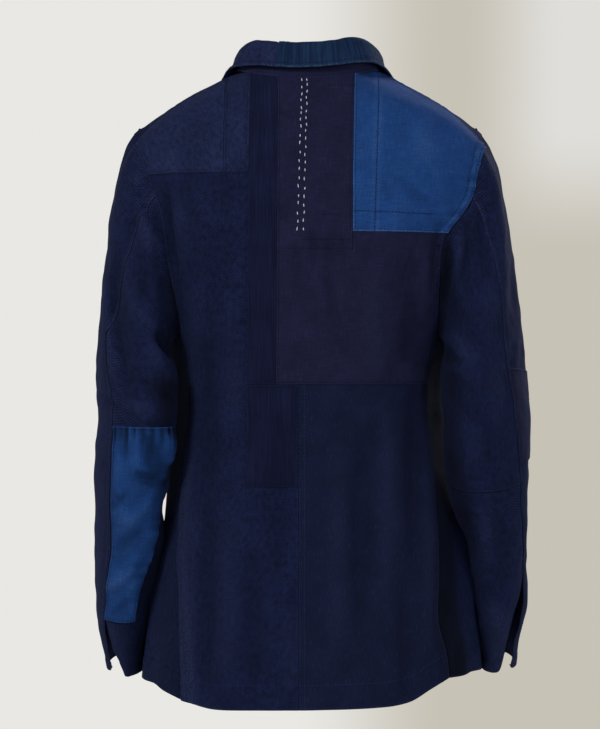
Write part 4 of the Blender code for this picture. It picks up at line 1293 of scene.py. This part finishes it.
RIGHT_SLEEVE_CREASES = (
    ((-196, -150), (-206, -186), (-202, -240), 7, -2.6, 0.2, 1),
    ((-216, -160), (-228, -210), (-226, -276), 9, 2.0, 0, 1),
    ((-182, -166), (-190, -214), (-180, -268), 7, -3.0, 0.2, 1),
    ((-170, -182), (-176, -206), (-164, -240), 6, 2.6, 0, 1),
    ((-160, -196), (-160, -230), (-154, -268), 5, -3.4, 0, 1),
    ((-228, -180), (-238, -240), (-236, -310), 8, -1.8, 0.2, 1),
    ((-204, -236), (-212, -270), (-204, -312), 9, 1.8, 0, 1),
    ((-164, -262), (-180, -292), (-202, -318), 8, -2.4, 0.2, 1),
    ((-158, -296), (-174, -322), (-196, -338), 8, 2.4, 0, 1),
    ((-152, -312), (-160, -326), (-174, -336), 5, -3.6, 0.3, 1),
    ((-160, -344), (-180, -366), (-198, -404), 9, -2.6, 0.2, 1),
    ((-206, -330), (-216, -372), (-210, -414), 9, 1.8, 0, 1),
    ((-202, -400), (-214, -428), (-206, -462), 8, -2.0, 0.2, 1),
    ((-170, -396), (-184, -430), (-180, -472), 10, 1.8, 0, 1),
    ((-160, -430), (-168, -452), (-164, -474), 7, -0.9, 0.2, 1),
    ((-196, -496), (-208, -540), (-200, -594), 10, 1.8, 0, 1),
    ((-216, -500), (-228, -556), (-226, -612), 9, -2.0, 0.1, 1),
    ((-178, -500), (-190, -530), (-196, -566), 8, -1.6, 0.2, 1),
    ((-206, -604), (-218, -634), (-232, -660), 9, 1.6, 0, 1),
    ((-204, -640), (-208, -664), (-206, -690), 9, -1.4, 0, 1),
    ((-170, -356), (-196, -372), (-236, -366), 9, -2.6, 0.2, -1),
    ((-170, -388), (-196, -398), (-236, -408), 9, 2.0, 0, -1),
    ((-176, -424), (-200, -432), (-238, -452), 9, -2.4, 0.2, -1),
    ((-180, -474), (-206, -492), (-240, -488), 10, 1.8, 0, -1),
    ((-190, -520), (-210, -536), (-242, -560), 10, -2.0, 0.2, -1),
    ((-200, -176), (-212, -226), (-206, -286), 9, -2.2, 0.2, -1),
    ((-218, -206), (-230, -262), (-226, -330), 10, 2.0, 0, -1),
)
SLEEVE_LINES = (2, 13)  # a sleeve panel's lines at its two seams
ARMHOLE_LEVEL, TUCK = 17, 0.35  # the sleeve runs in under the body past its last level
FOREARM_SEAM = 7
CUFF_FOLD = 14


def sleeve_shape(elbow, over, joined=""):
    """elbow names the side of the piece that the elbow seam is on. over says whether the piece
    laps over the other. joined names the end that is seamed across the sleeve. Darker dye on
    the inner side stands in for the deep shade beside the body.
    """
    def shape(points, left, right, low, top):
        up = points[:, 2]
        open_vent = 1 - smooth_step(up, -662, -640)
        height = 0.55 * uneven(points, 23, 3.0)
        inner = np.abs(points[:, 0]) - 146 - 0.12 * np.maximum(0, -330 - up)
        # Paler towards the cuffs, the right sleeve more.
        wear_and_painted_light = np.where(points[:, 0] > 0, 0.3, 0.75) * smooth_fall(up, -650, -600)
        # Painted light on the left sleeve: a painted highlight down its outer side and over its
        # head, and a little darker between.
        left_sleeve_painted_light = 0.6 * smooth_step(points[:, 0], 220, 242) + 0.2 * smooth_step(up, -240, -190)
        left_sleeve_painted_light -= 0.1 * smooth_step(up, -420, -340) * smooth_fall(up, -250, -200)
        wear_and_painted_light = wear_and_painted_light + np.where(points[:, 0] > 0, left_sleeve_painted_light, 0)
        wear_and_painted_light -= 0.75 * smooth_fall(inner, 4, 34) * smooth_fall(up, -190, -150)
        for name, distance, phase in (("left", left, 0.6), ("right", right, 1.9)):
            closed = felled(distance, up, phase) if over else sunk(distance)
            if name == elbow:
                parted = rolled(distance, 1.2) + valley(distance, 5, 0.35)
                closed = (1 - open_vent) * closed + open_vent * parted
                wear_and_painted_light += edge_wear(distance) * (1 if over else open_vent)
                wear_and_painted_light += (0.9 if over else 0.4) * np.exp(-(distance / 5) ** 2)
            height += closed
        if joined == "low":
            height += felled(low, left, 0.8)
            wear_and_painted_light += 0.7 * edge_wear(low)
        else:
            height += turned_hem(low, left, CUFF_FOLD, 2.2)
            wear_and_painted_light += edge_wear(low)
        if joined == "high":
            height += sunk(top)
            # Painted shade where this piece runs under the seam above it.
            wear_and_painted_light -= 0.9 * np.exp(-(top / 2.2) ** 2)
        else:
            height -= 1.8 * smooth_fall(top, 3, 9)
            height += puckers(left, top - 8, 0.6, 10, 9, 0.4)
        return height, wear_and_painted_light
    return shape


rings, sleeves = {}, {}
for side, creases, seed in (("left", LEFT_SLEEVE_CREASES, 7.0),
                            ("right", RIGHT_SLEEVE_CREASES, 9.0)):
    rings[side] = sleeve_rings(side, armhole_loop(side, back_grid, fronts[side]))
    count = len(rings[side][0])
    for part, first, last, spread in (("under", ELBOW_COLUMN, FOREARM_COLUMN, 1.0),
                                      ("upper", FOREARM_COLUMN, count + ELBOW_COLUMN, 0.3)):
        rows = sleeve_panel(side, rings[side], first, last, spread)
        sleeves[side, part] = worn_panel(rows, creases, 0.7, seed, deeper=1.8)

lap = SIDE_LAP / 25
start, end = SLEEVE_LINES
top = ARMHOLE_LEVEL + TUCK
for name, (side, part), lines, levels, shape, cut in (
        ("left_under", ("left", "under"), (start, end), (0, top),
         sleeve_shape("left", False), (0.22, 0.60, 0.092)),
        ("left_upper", ("left", "upper"), (start - lap, end + lap), (0, top),
         sleeve_shape("right", True), (0.22, 0.60, 0.097)),
        ("right_under_upper", ("right", "under"), (start, end), (FOREARM_SEAM - lap, top),
         sleeve_shape("right", False, "low"), (0.22, 0.36, 0.056)),
        ("right_under_lower", ("right", "under"), (start, end), (0, FOREARM_SEAM),
         sleeve_shape("right", False, "high"), (0.19, 0.25, 0.041)),
        ("right_upper", ("right", "upper"), (start - lap, end + lap), (0, top),
         sleeve_shape("left", True), (0.22, 0.60, 0.092))):
    cloth_piece(f"sleeve_cloth_{name}", f"sleeve_{name}", sleeves[side, part],
                lines, levels, rice_grain_cloth, shape, spacing=(2.6, 2.8),
                straight=True)


def elbow_patch_shape(points, left, right, low, top):
    """The elbow's patch was gathered along its upper edge when it was sewn on."""
    height, wear_and_painted_light = patch_shape(points, left, right, low, top)
    folds = puckers(left, top - 2, 1.3, 36, 12, 0.2) + puckers(left, top, 0.6, 16, 5, 0.9)
    folds += puckers(points[:, 2], right, 0.8, 22, 19, 0.5) + 0.7 * uneven(points, 23, 3.0)
    height += folds
    # Painted shade along the gathered top, over the upper part and down the inner side; the folds
    # are paler on their highs and darker in their lows, as painted light and shade.
    gathered = 0.45 * np.exp(-(top / 22) ** 2) * (0.5 + 0.5 * np.sin(left / 1.7 + 0.6))
    inner = 0.6 * smooth_fall(right, 3, 26) * smooth_step(points[:, 2], -560, -470)
    inner += 0.3 * smooth_step(points[:, 2], -540, -470)
    wear_and_painted_light = 0.5 * wear_and_painted_light + 0.3 * edge_wear(top) + 0.25 * edge_wear(left)
    return height, wear_and_painted_light + 0.15 * folds - gathered - inner


# The lines and levels of each elbow patch's edges, on the sleeve piece that it is sewn to.
ELBOW_PATCHES = {("left", "under"): ((2.35, 7.5), (3, 10)), ("right", "upper"): ((2, 9), (8, 12))}
for name, under, slot, material, shape, rise, cut in (
        ("patch_elbow_blue", ("left", "under"), "blue_cotton", blue_cloth,
         elbow_patch_shape, 1.8, (0.10, 0.25, 0.018)),
        ("patch_elbow_plum", ("right", "upper"), "plum_cotton", plum_cloth,
         patch_shape, 0.6, (0.08, 0.13, 0.0081))):
    lines, levels = ELBOW_PATCHES[under]
    cloth_piece(name + "_cloth", name, sleeves[under], lines, levels, material, shape,
                lift=PATCH_LIFT + rise,
                wall=PATCH_WALL + rise, spacing=PATCH_SPACING)

# --- The collar ----------------------------------------------------------------------
# A plum stand and a folded fall of two layers, the left of it dobby and the rest a streaked
# teal cotton, joined over the left shoulder blade and stitched 5 mm inside its edge.
# The stand rises from the neck seam, and the fall starts at the stand's top: out from
# there, up from there.
STAND = ((0, 1), (-4, 12), (-7.5, 26), (-9, 38))
FALL = ((-1.2, 2.6), (2.6, 3.6), (6.4, 0.6), (9.5, -7), (12.5, -16), (16, -26))
FALL_CLEAR = 6.2  # least distance from the fall's face to the body's
STAND_SHARE_FRONT = 0.5  # the stand is lower at the sides and the front
STAND_LAP_FRONT = 7  # and runs down behind the fronts by this much
FALL_SHARE_FRONT = 1.9  # and the fall is longer at the front
FALL_REACH_FRONT = 1.9  # and stands further out there
COLLAR_TILT = -0.035  # the collar sits higher on the right
COLLAR_JOIN_LINE = 3  # the back line that the fall's joining seam stands over
COLLAR_POINT = 40  # how far the fall's points stand apart from the centre
COLLAR_END_GAP = 3


def neck_base(back, front_left, front_right):
    """Points of the neck seam from the left end of the collar round to its right end."""
    left = front_left[-1][1:NECK_COLUMNS + 1]
    right = front_right[-1][::-1][2:NECK_COLUMNS + 2][::-1]
    neck = back[-1][SHOULDER_COLUMNS:-SHOULDER_COLUMNS]
    return left + neck + right + front_left[-1][:2]


def clear_of_body(point, gap):
    """The point, pushed out along the form's normal until it stands this far off the form."""

    def size_at(place):
        width = read(BODY, place.z, LEFT)
        depth = read(BODY, place.z, BACK if place.y > 0 else FRONT)
        return ((abs(place.x) / width) ** SQUARENESS
                + (abs(place.y) / depth) ** SQUARENESS) ** (1 / SQUARENESS)

    for _ in range(4):
        size = size_at(point)
        slope = Vector([size_at(point + step) - size
                        for step in (Vector((1, 0, 0)), Vector((0, 1, 0)), Vector((0, 0, 1)))])
        short = gap - (size - 1) / slope.length
        if short > 0:
            point = point + slope.normalized() * short
    return point


def collar_rows(base):
    """The stand's rows and the fall's, both running up, from the left end to the right."""
    stand = [[] for _ in STAND]
    fall = [[] for _ in FALL]
    for i, point in enumerate(base):
        side = 1 if i < len(base) / 2 else -1
        inset = COLLAR_END_GAP / 2 if i in (0, len(base) - 1) else 0
        along = base[min(i + 1, len(base) - 1)] - base[max(i - 1, 0)]
        outward = Vector((along.y, -along.x, 0)).normalized()
        rear, front = (min(1, max(0, share / 60)) for share in (point.y, -point.y))
        rear = rear * rear * (3 - 2 * rear)
        high = STAND_SHARE_FRONT + (1 - STAND_SHARE_FRONT) * rear
        tilt = COLLAR_TILT * point.x / STAND[-1][1]
        steep = along.length / along.to_2d().length
        for row, (out, up) in zip(stand, STAND):
            move = outward * out * (0.3 + 0.7 * high)
            row.append(point + move + Vector((side * inset, 0, up * (high + tilt))))
        stand[0][-1].z -= STAND_LAP_FRONT * front
        top = stand[-1][-1]
        for k, (row, (out, up)) in enumerate(zip(fall, FALL)):
            drop = k / (len(FALL) - 1)
            reach = 1 + (FALL_REACH_FRONT - 1) * front * drop
            length = 1 + (FALL_SHARE_FRONT - 1) * front if up < 0 else steep
            apart = COLLAR_POINT * drop * front * max(0, 1 - abs(top.x) / NECK_HALF_WIDTH)
            place = top + outward * out * reach + Vector((side * apart, 0, up * length))
            row.append(clear_of_body(place, FALL_CLEAR) if drop > 0.3 else place)
    return stand, fall[::-1]


# Creases of the collar, as the back's.
COLLAR_CREASES = (
    ((-36, 30), (-40, 20), (-34, 4), 4, -0.9, 0.2, 1),
    ((-50, 26), (-54, 16), (-52, 4), 5, 0.7, 0, 1),
    ((52, 28), (60, 18), (58, 2), 7, -0.6, 0, 1),
    ((4, 32), (2, 20), (6, 6), 6, 0.5, 0, 1),
    ((-84, 20), (-88, 4), (-90, -14), 6, -0.8, 0, 1),
)


def stand_shape(points, left, right, low, top):
    along = left
    return (0.8 + rolled(low) + valley(low, 1.8, 0.3) + puckers(along, low, 0.2, 6, 5, 0.4)
            + rolled(left) + rolled(right), edge_wear(low) * 0.6)


def fall_shape(joined):
    """joined names the end that is sewn to the fall's other part, and whether it laps over it."""
    side, over = joined

    def shape(points, left, right, low, top):
        ends = {"left": left, "right": right}
        free = ends["right" if side == "left" else "left"]
        edge = np.minimum(free, low)
        height = (rolled(edge, 1.5) + valley(edge, 5, 0.45)
                  + puckers(left + right, low - 6, 0.3, 6, 6, 0.9))
        height += felled(ends[side], points[:, 2], 0.2) if over else sunk(ends[side])
        height += 0.25 * uneven(points, 17, 4.0)
        return height, edge_wear(edge) + 0.5 * np.exp(-(top / 4) ** 2)
    return shape


def streaked(tree, chart):
    """Warp-faced cotton whose dye has taken in streaks, 2 to 8 mm wide."""
    streaks = slubs(tree, chart, 3.2, 70, 0.36, 0.68)
    flecks = slubs(tree, chart, 0.9, 8, 0.56, 0.74)
    share = add_node(tree, "Math", {0: streaks, 1: flecks}, operation="MAXIMUM")
    ground = plain_weave(tree, chart, 1.8, 0.8)
    return share, add_node(tree, "Math", {0: ground, 1: flecks}, operation="ADD")


# Teal cotton, overdyed: greener and paler than the body, and rubbed bright along its fold.
teal_cloth = woven("streaked_teal_cotton", "#0f1d38", "#172d4a", 0.08, streaked, 0.4,
                   rubbed_and_lit="#54708f")

base = neck_base(back_grid, fronts["left"], fronts["right"])
stand_rows, fall_rows = collar_rows(base)
stand = worn_panel(stand_rows, (), 0.2, 11.0)
fall = worn_panel(fall_rows, COLLAR_CREASES, 0.3, 12.0)
seam = NECK_COLUMNS + COLLAR_JOIN_LINE
ends = (0, len(base) - 1)
for name, panel, slot, material, lines, levels, shape, lift, wall, cut in (
        ("collar_stand", stand, "plum_cotton", plum_cloth, ends, (-0.1, len(STAND) - 1),
         stand_shape, 0, 1.6, (0.51, 0.04, 0.016)),
        ("collar_fall_left", fall, "indigo_weave", faded_weave_cloth, (0, seam), (0, len(FALL) - 1),
         fall_shape(("right", False)), 0.5, 2.9, (0.22, 0.06, 0.0121)),
        ("collar_fall_right", fall, "teal_cotton", teal_cloth, (seam, ends[1]), (0, len(FALL) - 1),
         fall_shape(("left", True)), 0.5, 2.9, (0.32, 0.06, 0.015))):
    cloth_piece(name + "_cloth", name, panel, lines, levels, material, shape,
                lift=lift, wall=wall, spacing=(1.7, 1.7), straight=True)

# --- The stitching -------------------------------------------------------------------
# Running stitches in thick white thread down the plum patch, by hand, and lockstitched
# rows in navy thread along every seam, hem and patch edge.


def thread_material(name, code, roughness):
    """A twisted cotton thread, matt, its strands too fine to draw."""
    material, tree, shader = new_material(name, roughness)
    place = add_node(tree, "TexCoord", give="Object")
    twist = add_node(tree, "TexNoise", {"Vector": place, "Scale": 900.0, "Detail": 1.0})
    tone = add_node(tree, "MapRange", {"Value": twist, "From Min": 0.3, "From Max": 0.7,
                                       "To Min": 0.7, "To Max": 1.1})
    tint = add_node(tree, "VectorMath", {0: colour(code)[:3], "Scale": tone}, operation="SCALE")
    tree.links.new(tint, shader.inputs["Base Color"])
    shader.inputs["Specular IOR Level"].default_value = 0.1
    return material


# Undyed cotton sashiko thread: soft, thick and a little grey.
white_thread = thread_material("undyed_sashiko_thread", "#b4b6c0", 0.8)
# Navy cotton sewing thread, about as dark as the cloth, so that only its relief shows.
navy_thread = thread_material("navy_cotton_thread", "#0c1124", 0.8)
# Mid-blue sewing thread, for the hem and the lower back's seam.
blue_thread = thread_material("blue_cotton_thread", "#1b3158", 0.7)


skins = [obj for obj in bpy.data.objects if "cloth" in obj.name and obj.type == "MESH"]
corners, faces = [], []
for obj in skins:
    faces += [[len(corners) + k for k in face.vertices] for face in obj.data.polygons]
    corners += [vert.co / MM for vert in obj.data.vertices]
cloth_skin = BVHTree.FromPolygons(corners, faces)


def landed(point, normal, reach):
    """The place on the outermost cloth under a point, if one lies that near."""
    spot = cloth_skin.ray_cast(point + normal * reach, -normal, 2 * reach)[0]
    return point if spot is None else spot


def sew(bm, points, normals, length, gap, radius, detail=1, reach=4):
    """Stitches along a line of points on the cloth, each a bead of thread drawn long and laid
    on the outermost cloth within reach."""
    steps = np.linalg.norm(np.diff(points, axis=0), axis=1)
    along = np.concatenate([[0], np.cumsum(steps)])
    count = int(along[-1] // (length + gap))
    for k in range(count):
        ends = (k + 0.5) * along[-1] / count + np.array((-0.5, 0, 0.5)) * length
        a, middle, b = (Vector([np.interp(at, along, points[:, axis]) for axis in range(3)])
                        for at in ends)
        normal = Vector([np.interp(ends[1], along, normals[:, axis]) for axis in range(3)])
        if reach:
            a, middle, b = (landed(spot, normal, reach) for spot in (a, middle, b))
            middle = (a + b) / 4 + middle / 2 + normal * radius * 0.3
        way = (b - a).normalized()
        side = way.cross(normal).normalized()
        turn = Matrix((side, side.cross(way), way)).transposed().to_4x4()
        scale = Matrix.Diagonal((radius, radius * 0.75, (b - a).length / 2, 1))
        bmesh.ops.create_icosphere(bm, subdivisions=detail, radius=1,
                                   matrix=Matrix.Translation(middle) @ turn @ scale)


def add_stitches(name, bm, material):
    bmesh.ops.scale(bm, vec=(MM, MM, MM), verts=bm.verts[:])
    piece = add_object(name, bm)
    piece.data.shade_smooth()
    piece.data.materials.append(material)
    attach(piece, "root")


def seam_path(panel, lines, levels, inset, samples=160):
    """Points and normals along a line or level of a panel, moved off it by an inset in
    millimetres: towards higher lines or levels where positive."""
    across, up = np.linspace(*lines, samples), np.linspace(*levels, samples)
    nudge = math.copysign(0.25, inset)
    aside = (up, across + nudge) if lines[0] == lines[1] else (up + nudge, across)
    gap = surface_at(panel["rows"], *aside) - surface_at(panel["rows"], up, across)
    move = nudge * abs(inset) / np.linalg.norm(gap, axis=1)
    if lines[0] == lines[1]:
        return cloth_at(panel, up, across + move)
    return cloth_at(panel, up + move, across)


def find_on(panel, across, height, face=1):
    """Row and column number of a place on the side that faces the rear, or the front with -1."""
    rows = panel["rows"]
    away = (np.hypot(rows[..., 0] - across, rows[..., 2] - height)
            + 4 * np.maximum(0, -face * rows[..., 1]))
    up, line = (float(value) for value in np.unravel_index(away.argmin(), away.shape))
    for _ in range(6):
        here, above, beside = (surface_at(rows, np.array([a]), np.array([b]))[0]
                               for a, b in ((up, line), (up + 0.1, line), (up, line + 0.1)))
        ways = np.array([(above - here)[[0, 2]], (beside - here)[[0, 2]]]).T / 0.1
        step = np.linalg.solve(ways, np.array((across, height)) - here[[0, 2]])
        up, line = up + step[0], line + step[1]
    return up, line


# The white rows, by hand: where each row starts and ends (across), and how far down the
# middle of each stitch is.
WHITE_ROWS = (
    (7.0, 12.4, (-12, -21, -29, -36, -45, -51, -59, -67, -78, -86, -97, -107, -116, -127, -136,
                 -147, -155, -167, -176, -184.5)),
    (1.2, 5.6, (-12, -17.5, -25.5, -33, -40, -49, -57, -65, -72, -81, -91, -100, -109, -118,
                -128, -139, -148, -158, -166, -175, -185)),
)
WHITE_LENGTH, WHITE_RADIUS = 4.2, 0.62
STITCH, GAP, THREAD = 3.1, 0.7, 0.36  # machine stitches: length, gap, half the thread's width
FELLED_ROWS, PATCH_ROW = (1.8, 8), 2.6  # how far inside a felled seam's edge, and a patch's
ARMHOLE_LEVELS = (11, 18)  # of the fronts

bm = bmesh.new()
for first, last, heights in WHITE_ROWS:
    for k, height in enumerate(heights):
        share = (height - heights[0]) / (heights[-1] - heights[0])
        across = first + (last - first) * share + 0.5 * math.sin(2.3 * k + first)
        reach = WHITE_LENGTH * (0.5 + 0.07 * math.sin(3.7 * k + last))
        lean = 0.35 * math.sin(1.9 * k + first)
        spots = [find_on(back, across + lean * s, height + reach * s) for s in (1, -1)]
        points, normals = cloth_at(back, *zip(*spots))
        sew(bm, points, normals, 2 * reach - 0.1, 0, WHITE_RADIUS, detail=2)
add_stitches("white_stitches", bm, white_thread)

# Lockstitched rows of the back and its patches, along a line or a level: lines, levels, and
# insets from them, towards higher numbers where positive.
BACK_SEAMS = (
    ((0, 0), (0, LAST_LEVEL), FELLED_ROWS),
    ((LAST_LINE, LAST_LINE), (0, 14), (-1.8, -8)),
    ((LAST_LINE, LAST_LINE), (14, LAST_LEVEL), (-2.6, -11.5)),
    ((0, 4), (LAST_LEVEL, LAST_LEVEL), (-2.2, -8)),
    ((12, LAST_LINE), (LAST_LEVEL, LAST_LEVEL), (-2.2, -8)),
    ((0, 5), (17, 17), (PATCH_ROW, -2)),
    ((4, 4), (17, 21), (PATCH_ROW,)),
    ((5, 5), (17, 21), (PATCH_ROW, -PATCH_ROW)),
    ((6, 6), (17, 19), (1,)),
    ((5, 6), (19, 19), (-1,)),
    ((7, 7), (8, 21), (PATCH_ROW, -PATCH_ROW)),
    ((5, 5), (5, 17), (-PATCH_ROW,)),
    ((5, 8), (5, 5), (PATCH_ROW,)),
    ((5, 8), (8, 8), (-PATCH_ROW, PATCH_ROW)),
    ((8, 8), (5, 8), (PATCH_ROW,)),
    ((7, 11), (13, 13), (PATCH_ROW,)),
    ((7, 16), (8, 8), (PATCH_ROW,)),
    ((11, 11), (14, 21), (-PATCH_ROW, PATCH_ROW)),
    ((11, 16), (14, 14), (PATCH_ROW,)),
)
# Seams inside a patch, from across and height to across and height.
PIECED_SEAMS = ((-74, -187, -81, -8), (-50, -164, -143, -166), (-21, -18, -55, -18),
                (-12, -168, -36, -168), (8, -196, -46, -196))
bm = bmesh.new()
for lines, levels, insets in BACK_SEAMS:
    for inset in insets:
        sew(bm, *seam_path(patched, lines, levels, inset), STITCH, GAP, THREAD)
for x0, z0, x1, z1 in PIECED_SEAMS:
    spots = [find_on(back, x0 + (x1 - x0) * s, z0 + (z1 - z0) * s) for s in np.linspace(0, 1, 24)]
    sew(bm, *cloth_at(back, *zip(*spots)), STITCH + 0.5, 0.2, THREAD * 1.3)
add_stitches("back_stitches", bm, navy_thread)

# The seam down the lower back, the hem and the square at the side vent show a paler thread.
bm = bmesh.new()
for lines, levels, inset in (((CENTRE_SEAM, CENTRE_SEAM), (0, HIP_SEAM), 2.2),
                             ((CENTRE_SEAM, CENTRE_SEAM), (0, HIP_SEAM), 7.5),
                             ((0, LAST_LINE), (0, 0), HEM_FOLD),
                             ((0, 0), (0, 1.1), 9), ((0, 0), (0, 1.1), 3), ((0, 0.4), (1, 1), 2)):
    sew(bm, *seam_path(back, lines, levels, inset), STITCH, 1.2, THREAD)
add_stitches("pale_stitches", bm, blue_thread)

# Navy rows again, on the sleeves, the fronts and the collar.
bm = bmesh.new()
rows = []
for (side, part), panel in sleeves.items():
    first, last = SLEEVE_LINES
    rows.append((panel, SLEEVE_LINES, (0, 0), CUFF_FOLD))
    if part == "upper":
        rows += [(panel, (line, line), (0.3, ARMHOLE_LEVEL), way * inset)
                 for line, way in ((first, 1), (last, -1)) for inset in FELLED_ROWS]
for side, panel in front_panels.items():
    last_line, last_level = panel["rows"].shape[1] - 1, panel["rows"].shape[0] - 1
    centre, seam, way = (0, last_line, 1) if side == "left" else (last_line, 0, -1)
    rows += [(panel, (centre, centre), (0, last_level), way * inset) for inset in (3, FRONT_FOLD)]
    rows += [(panel, (seam, seam), ARMHOLE_LEVELS, -way * inset) for inset in FELLED_ROWS]
    rows.append((panel, (0, last_line), (0, 0), HEM_FOLD))
for panel, lines, levels, inset in rows:
    sew(bm, *seam_path(panel, lines, levels, inset), STITCH, GAP, THREAD)
top = len(FALL) - 1
for panel, lines, levels, inset in (
        (fall, ends, (0, 0), 5), (fall, (0, 0), (0, top), 5),
        (fall, (ends[1], ends[1]), (0, top), -5), (stand, ends, (0, 0), 1.8)):
    sew(bm, *seam_path(panel, lines, levels, inset), STITCH, GAP, THREAD, reach=2)
rows = [(sleeves["right", "under"], SLEEVE_LINES, (FOREARM_SEAM, FOREARM_SEAM), inset)
        for inset in (1.8, 7)]
for part, (lines, levels) in ELBOW_PATCHES.items():
    for way, line, level in zip((1, -1), lines, levels):
        rows += [(sleeves[part], (line, line), levels, way * PATCH_ROW),
                 (sleeves[part], lines, (level, level), way * PATCH_ROW)]
for panel, lines, levels, inset in rows:
    sew(bm, *seam_path(panel, lines, levels, inset), STITCH, GAP, THREAD)
add_stitches("sleeve_and_front_stitches", bm, navy_thread)

# --- The buttons ---------------------------------------------------------------------
# Five dark four-hole buttons on the left front, dished, with a rounded rim, sewn on with
# a cross of navy thread.
BUTTON_HEIGHTS = (-98, -215, -332, -449, -566)
BUTTON_RADIUS, BUTTON_THICKNESS, BUTTON_DISH = 9, 3.2, 0.9
BUTTON_CLEAR, CLOTH_PROUD = 0.4, 0.5  # a button's gap, over the front's stitched edge
HOLE_RADIUS, HOLE_OFFSET = 0.9, 1.7

profile = [(0, -BUTTON_THICKNESS / 2), (BUTTON_RADIUS - 1.4, -BUTTON_THICKNESS / 2)]
profile += [(BUTTON_RADIUS - 1.4 * (1 - math.sin(a)), -BUTTON_THICKNESS / 2 * math.cos(a))
            for a in np.linspace(0.35, math.pi - 0.2, 10)]
profile += [(BUTTON_RADIUS - 2.6, BUTTON_THICKNESS / 2 - 0.25),
            (BUTTON_RADIUS - 3.6, BUTTON_THICKNESS / 2 - BUTTON_DISH),
            (0, BUTTON_THICKNESS / 2 - BUTTON_DISH)]
bm = bmesh.new()
verts = [bm.verts.new((radius, 0, up)) for radius, up in profile]
edges = [bm.edges.new(pair) for pair in zip(verts, verts[1:])]
bmesh.ops.spin(bm, geom=verts + edges, axis=(0, 0, 1), cent=(0, 0, 0),
               angle=math.tau, steps=40, use_merge=True)
bmesh.ops.remove_doubles(bm, verts=bm.verts[:], dist=0.01)
bmesh.ops.recalc_face_normals(bm, faces=bm.faces[:])
blank = add_object("button_blank", bm)
apart = (-HOLE_OFFSET, HOLE_OFFSET)
holes = [Vector((x, y, 0)) for x in apart for y in apart]
bm = bmesh.new()
for hole in holes:
    bmesh.ops.create_cone(bm, cap_ends=True, segments=14, radius1=HOLE_RADIUS, radius2=HOLE_RADIUS,
                          depth=8, matrix=Matrix.Translation(hole))
drills = add_object("button_drills", bm)
cut = blank.modifiers.new("holes", "BOOLEAN")
cut.object = drills
cut.solver = "EXACT"
bpy.context.view_layer.update()
graph = bpy.context.evaluated_depsgraph_get()
button = bpy.data.meshes.new_from_object(blank.evaluated_get(graph))
for helper in (blank, drills):
    bpy.data.objects.remove(helper)

# Dark horn with cloudy brown streaks, polished to a satin.
horn, tree, shader = new_material("dark_horn", 0.42)
place = add_node(tree, "TexCoord", give="Object")
cloud = add_node(tree, "TexNoise", {"Vector": place, "Scale": 160.0, "Detail": 3.0,
                                    "Distortion": 1.2})
tint = add_node(tree, "Mix", {0: cloud, 6: colour("#070606"), 7: colour("#1d1611")},
                give=2, data_type="RGBA")
tree.links.new(tint, shader.inputs["Base Color"])

bm = bmesh.new()
front = front_panels["left"]
for k, height in enumerate(BUTTON_HEIGHTS, start=1):
    spot, normal = cloth_at(front, *find_on(front, 0, height, -1))
    outward = Vector(normal[0])
    turn = outward.to_track_quat("Z", "X").to_matrix().to_4x4()
    stand_off = BUTTON_THICKNESS / 2 + BUTTON_CLEAR + CLOTH_PROUD
    place = Matrix.Translation(Vector(spot[0]) + outward * stand_off) @ turn
    mesh = button.copy()
    mesh.transform(Matrix.Scale(MM, 4) @ place)
    mesh.materials.clear()
    mesh.materials.append(horn)
    mesh.shade_smooth()
    mesh.set_sharp_from_angle(angle=math.radians(32))
    piece = add_object(f"horn_button_{k}", mesh)
    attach(piece, "root")
    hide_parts(f"button_{k}")
    top = Vector((0, 0, BUTTON_THICKNESS / 2 - BUTTON_DISH + 0.25))
    for start, end in ((0, 3), (1, 2)):
        line = np.array([place @ (holes[start] + top), place @ (holes[end] + top)])
        sew(bm, line, np.stack([normal[0]] * 2), 5.4, 0, 0.5, detail=2, reach=0)
    for side in (-1, 1):  # the buttonhole's stitched edges, under the button
        spots = [find_on(front, x, height + 0.9 * side, -1) for x in np.linspace(-13, 9, 6)]
        sew(bm, *cloth_at(front, *zip(*spots)), 1.2, 0, 0.45)
add_stitches("button_thread", bm, navy_thread)
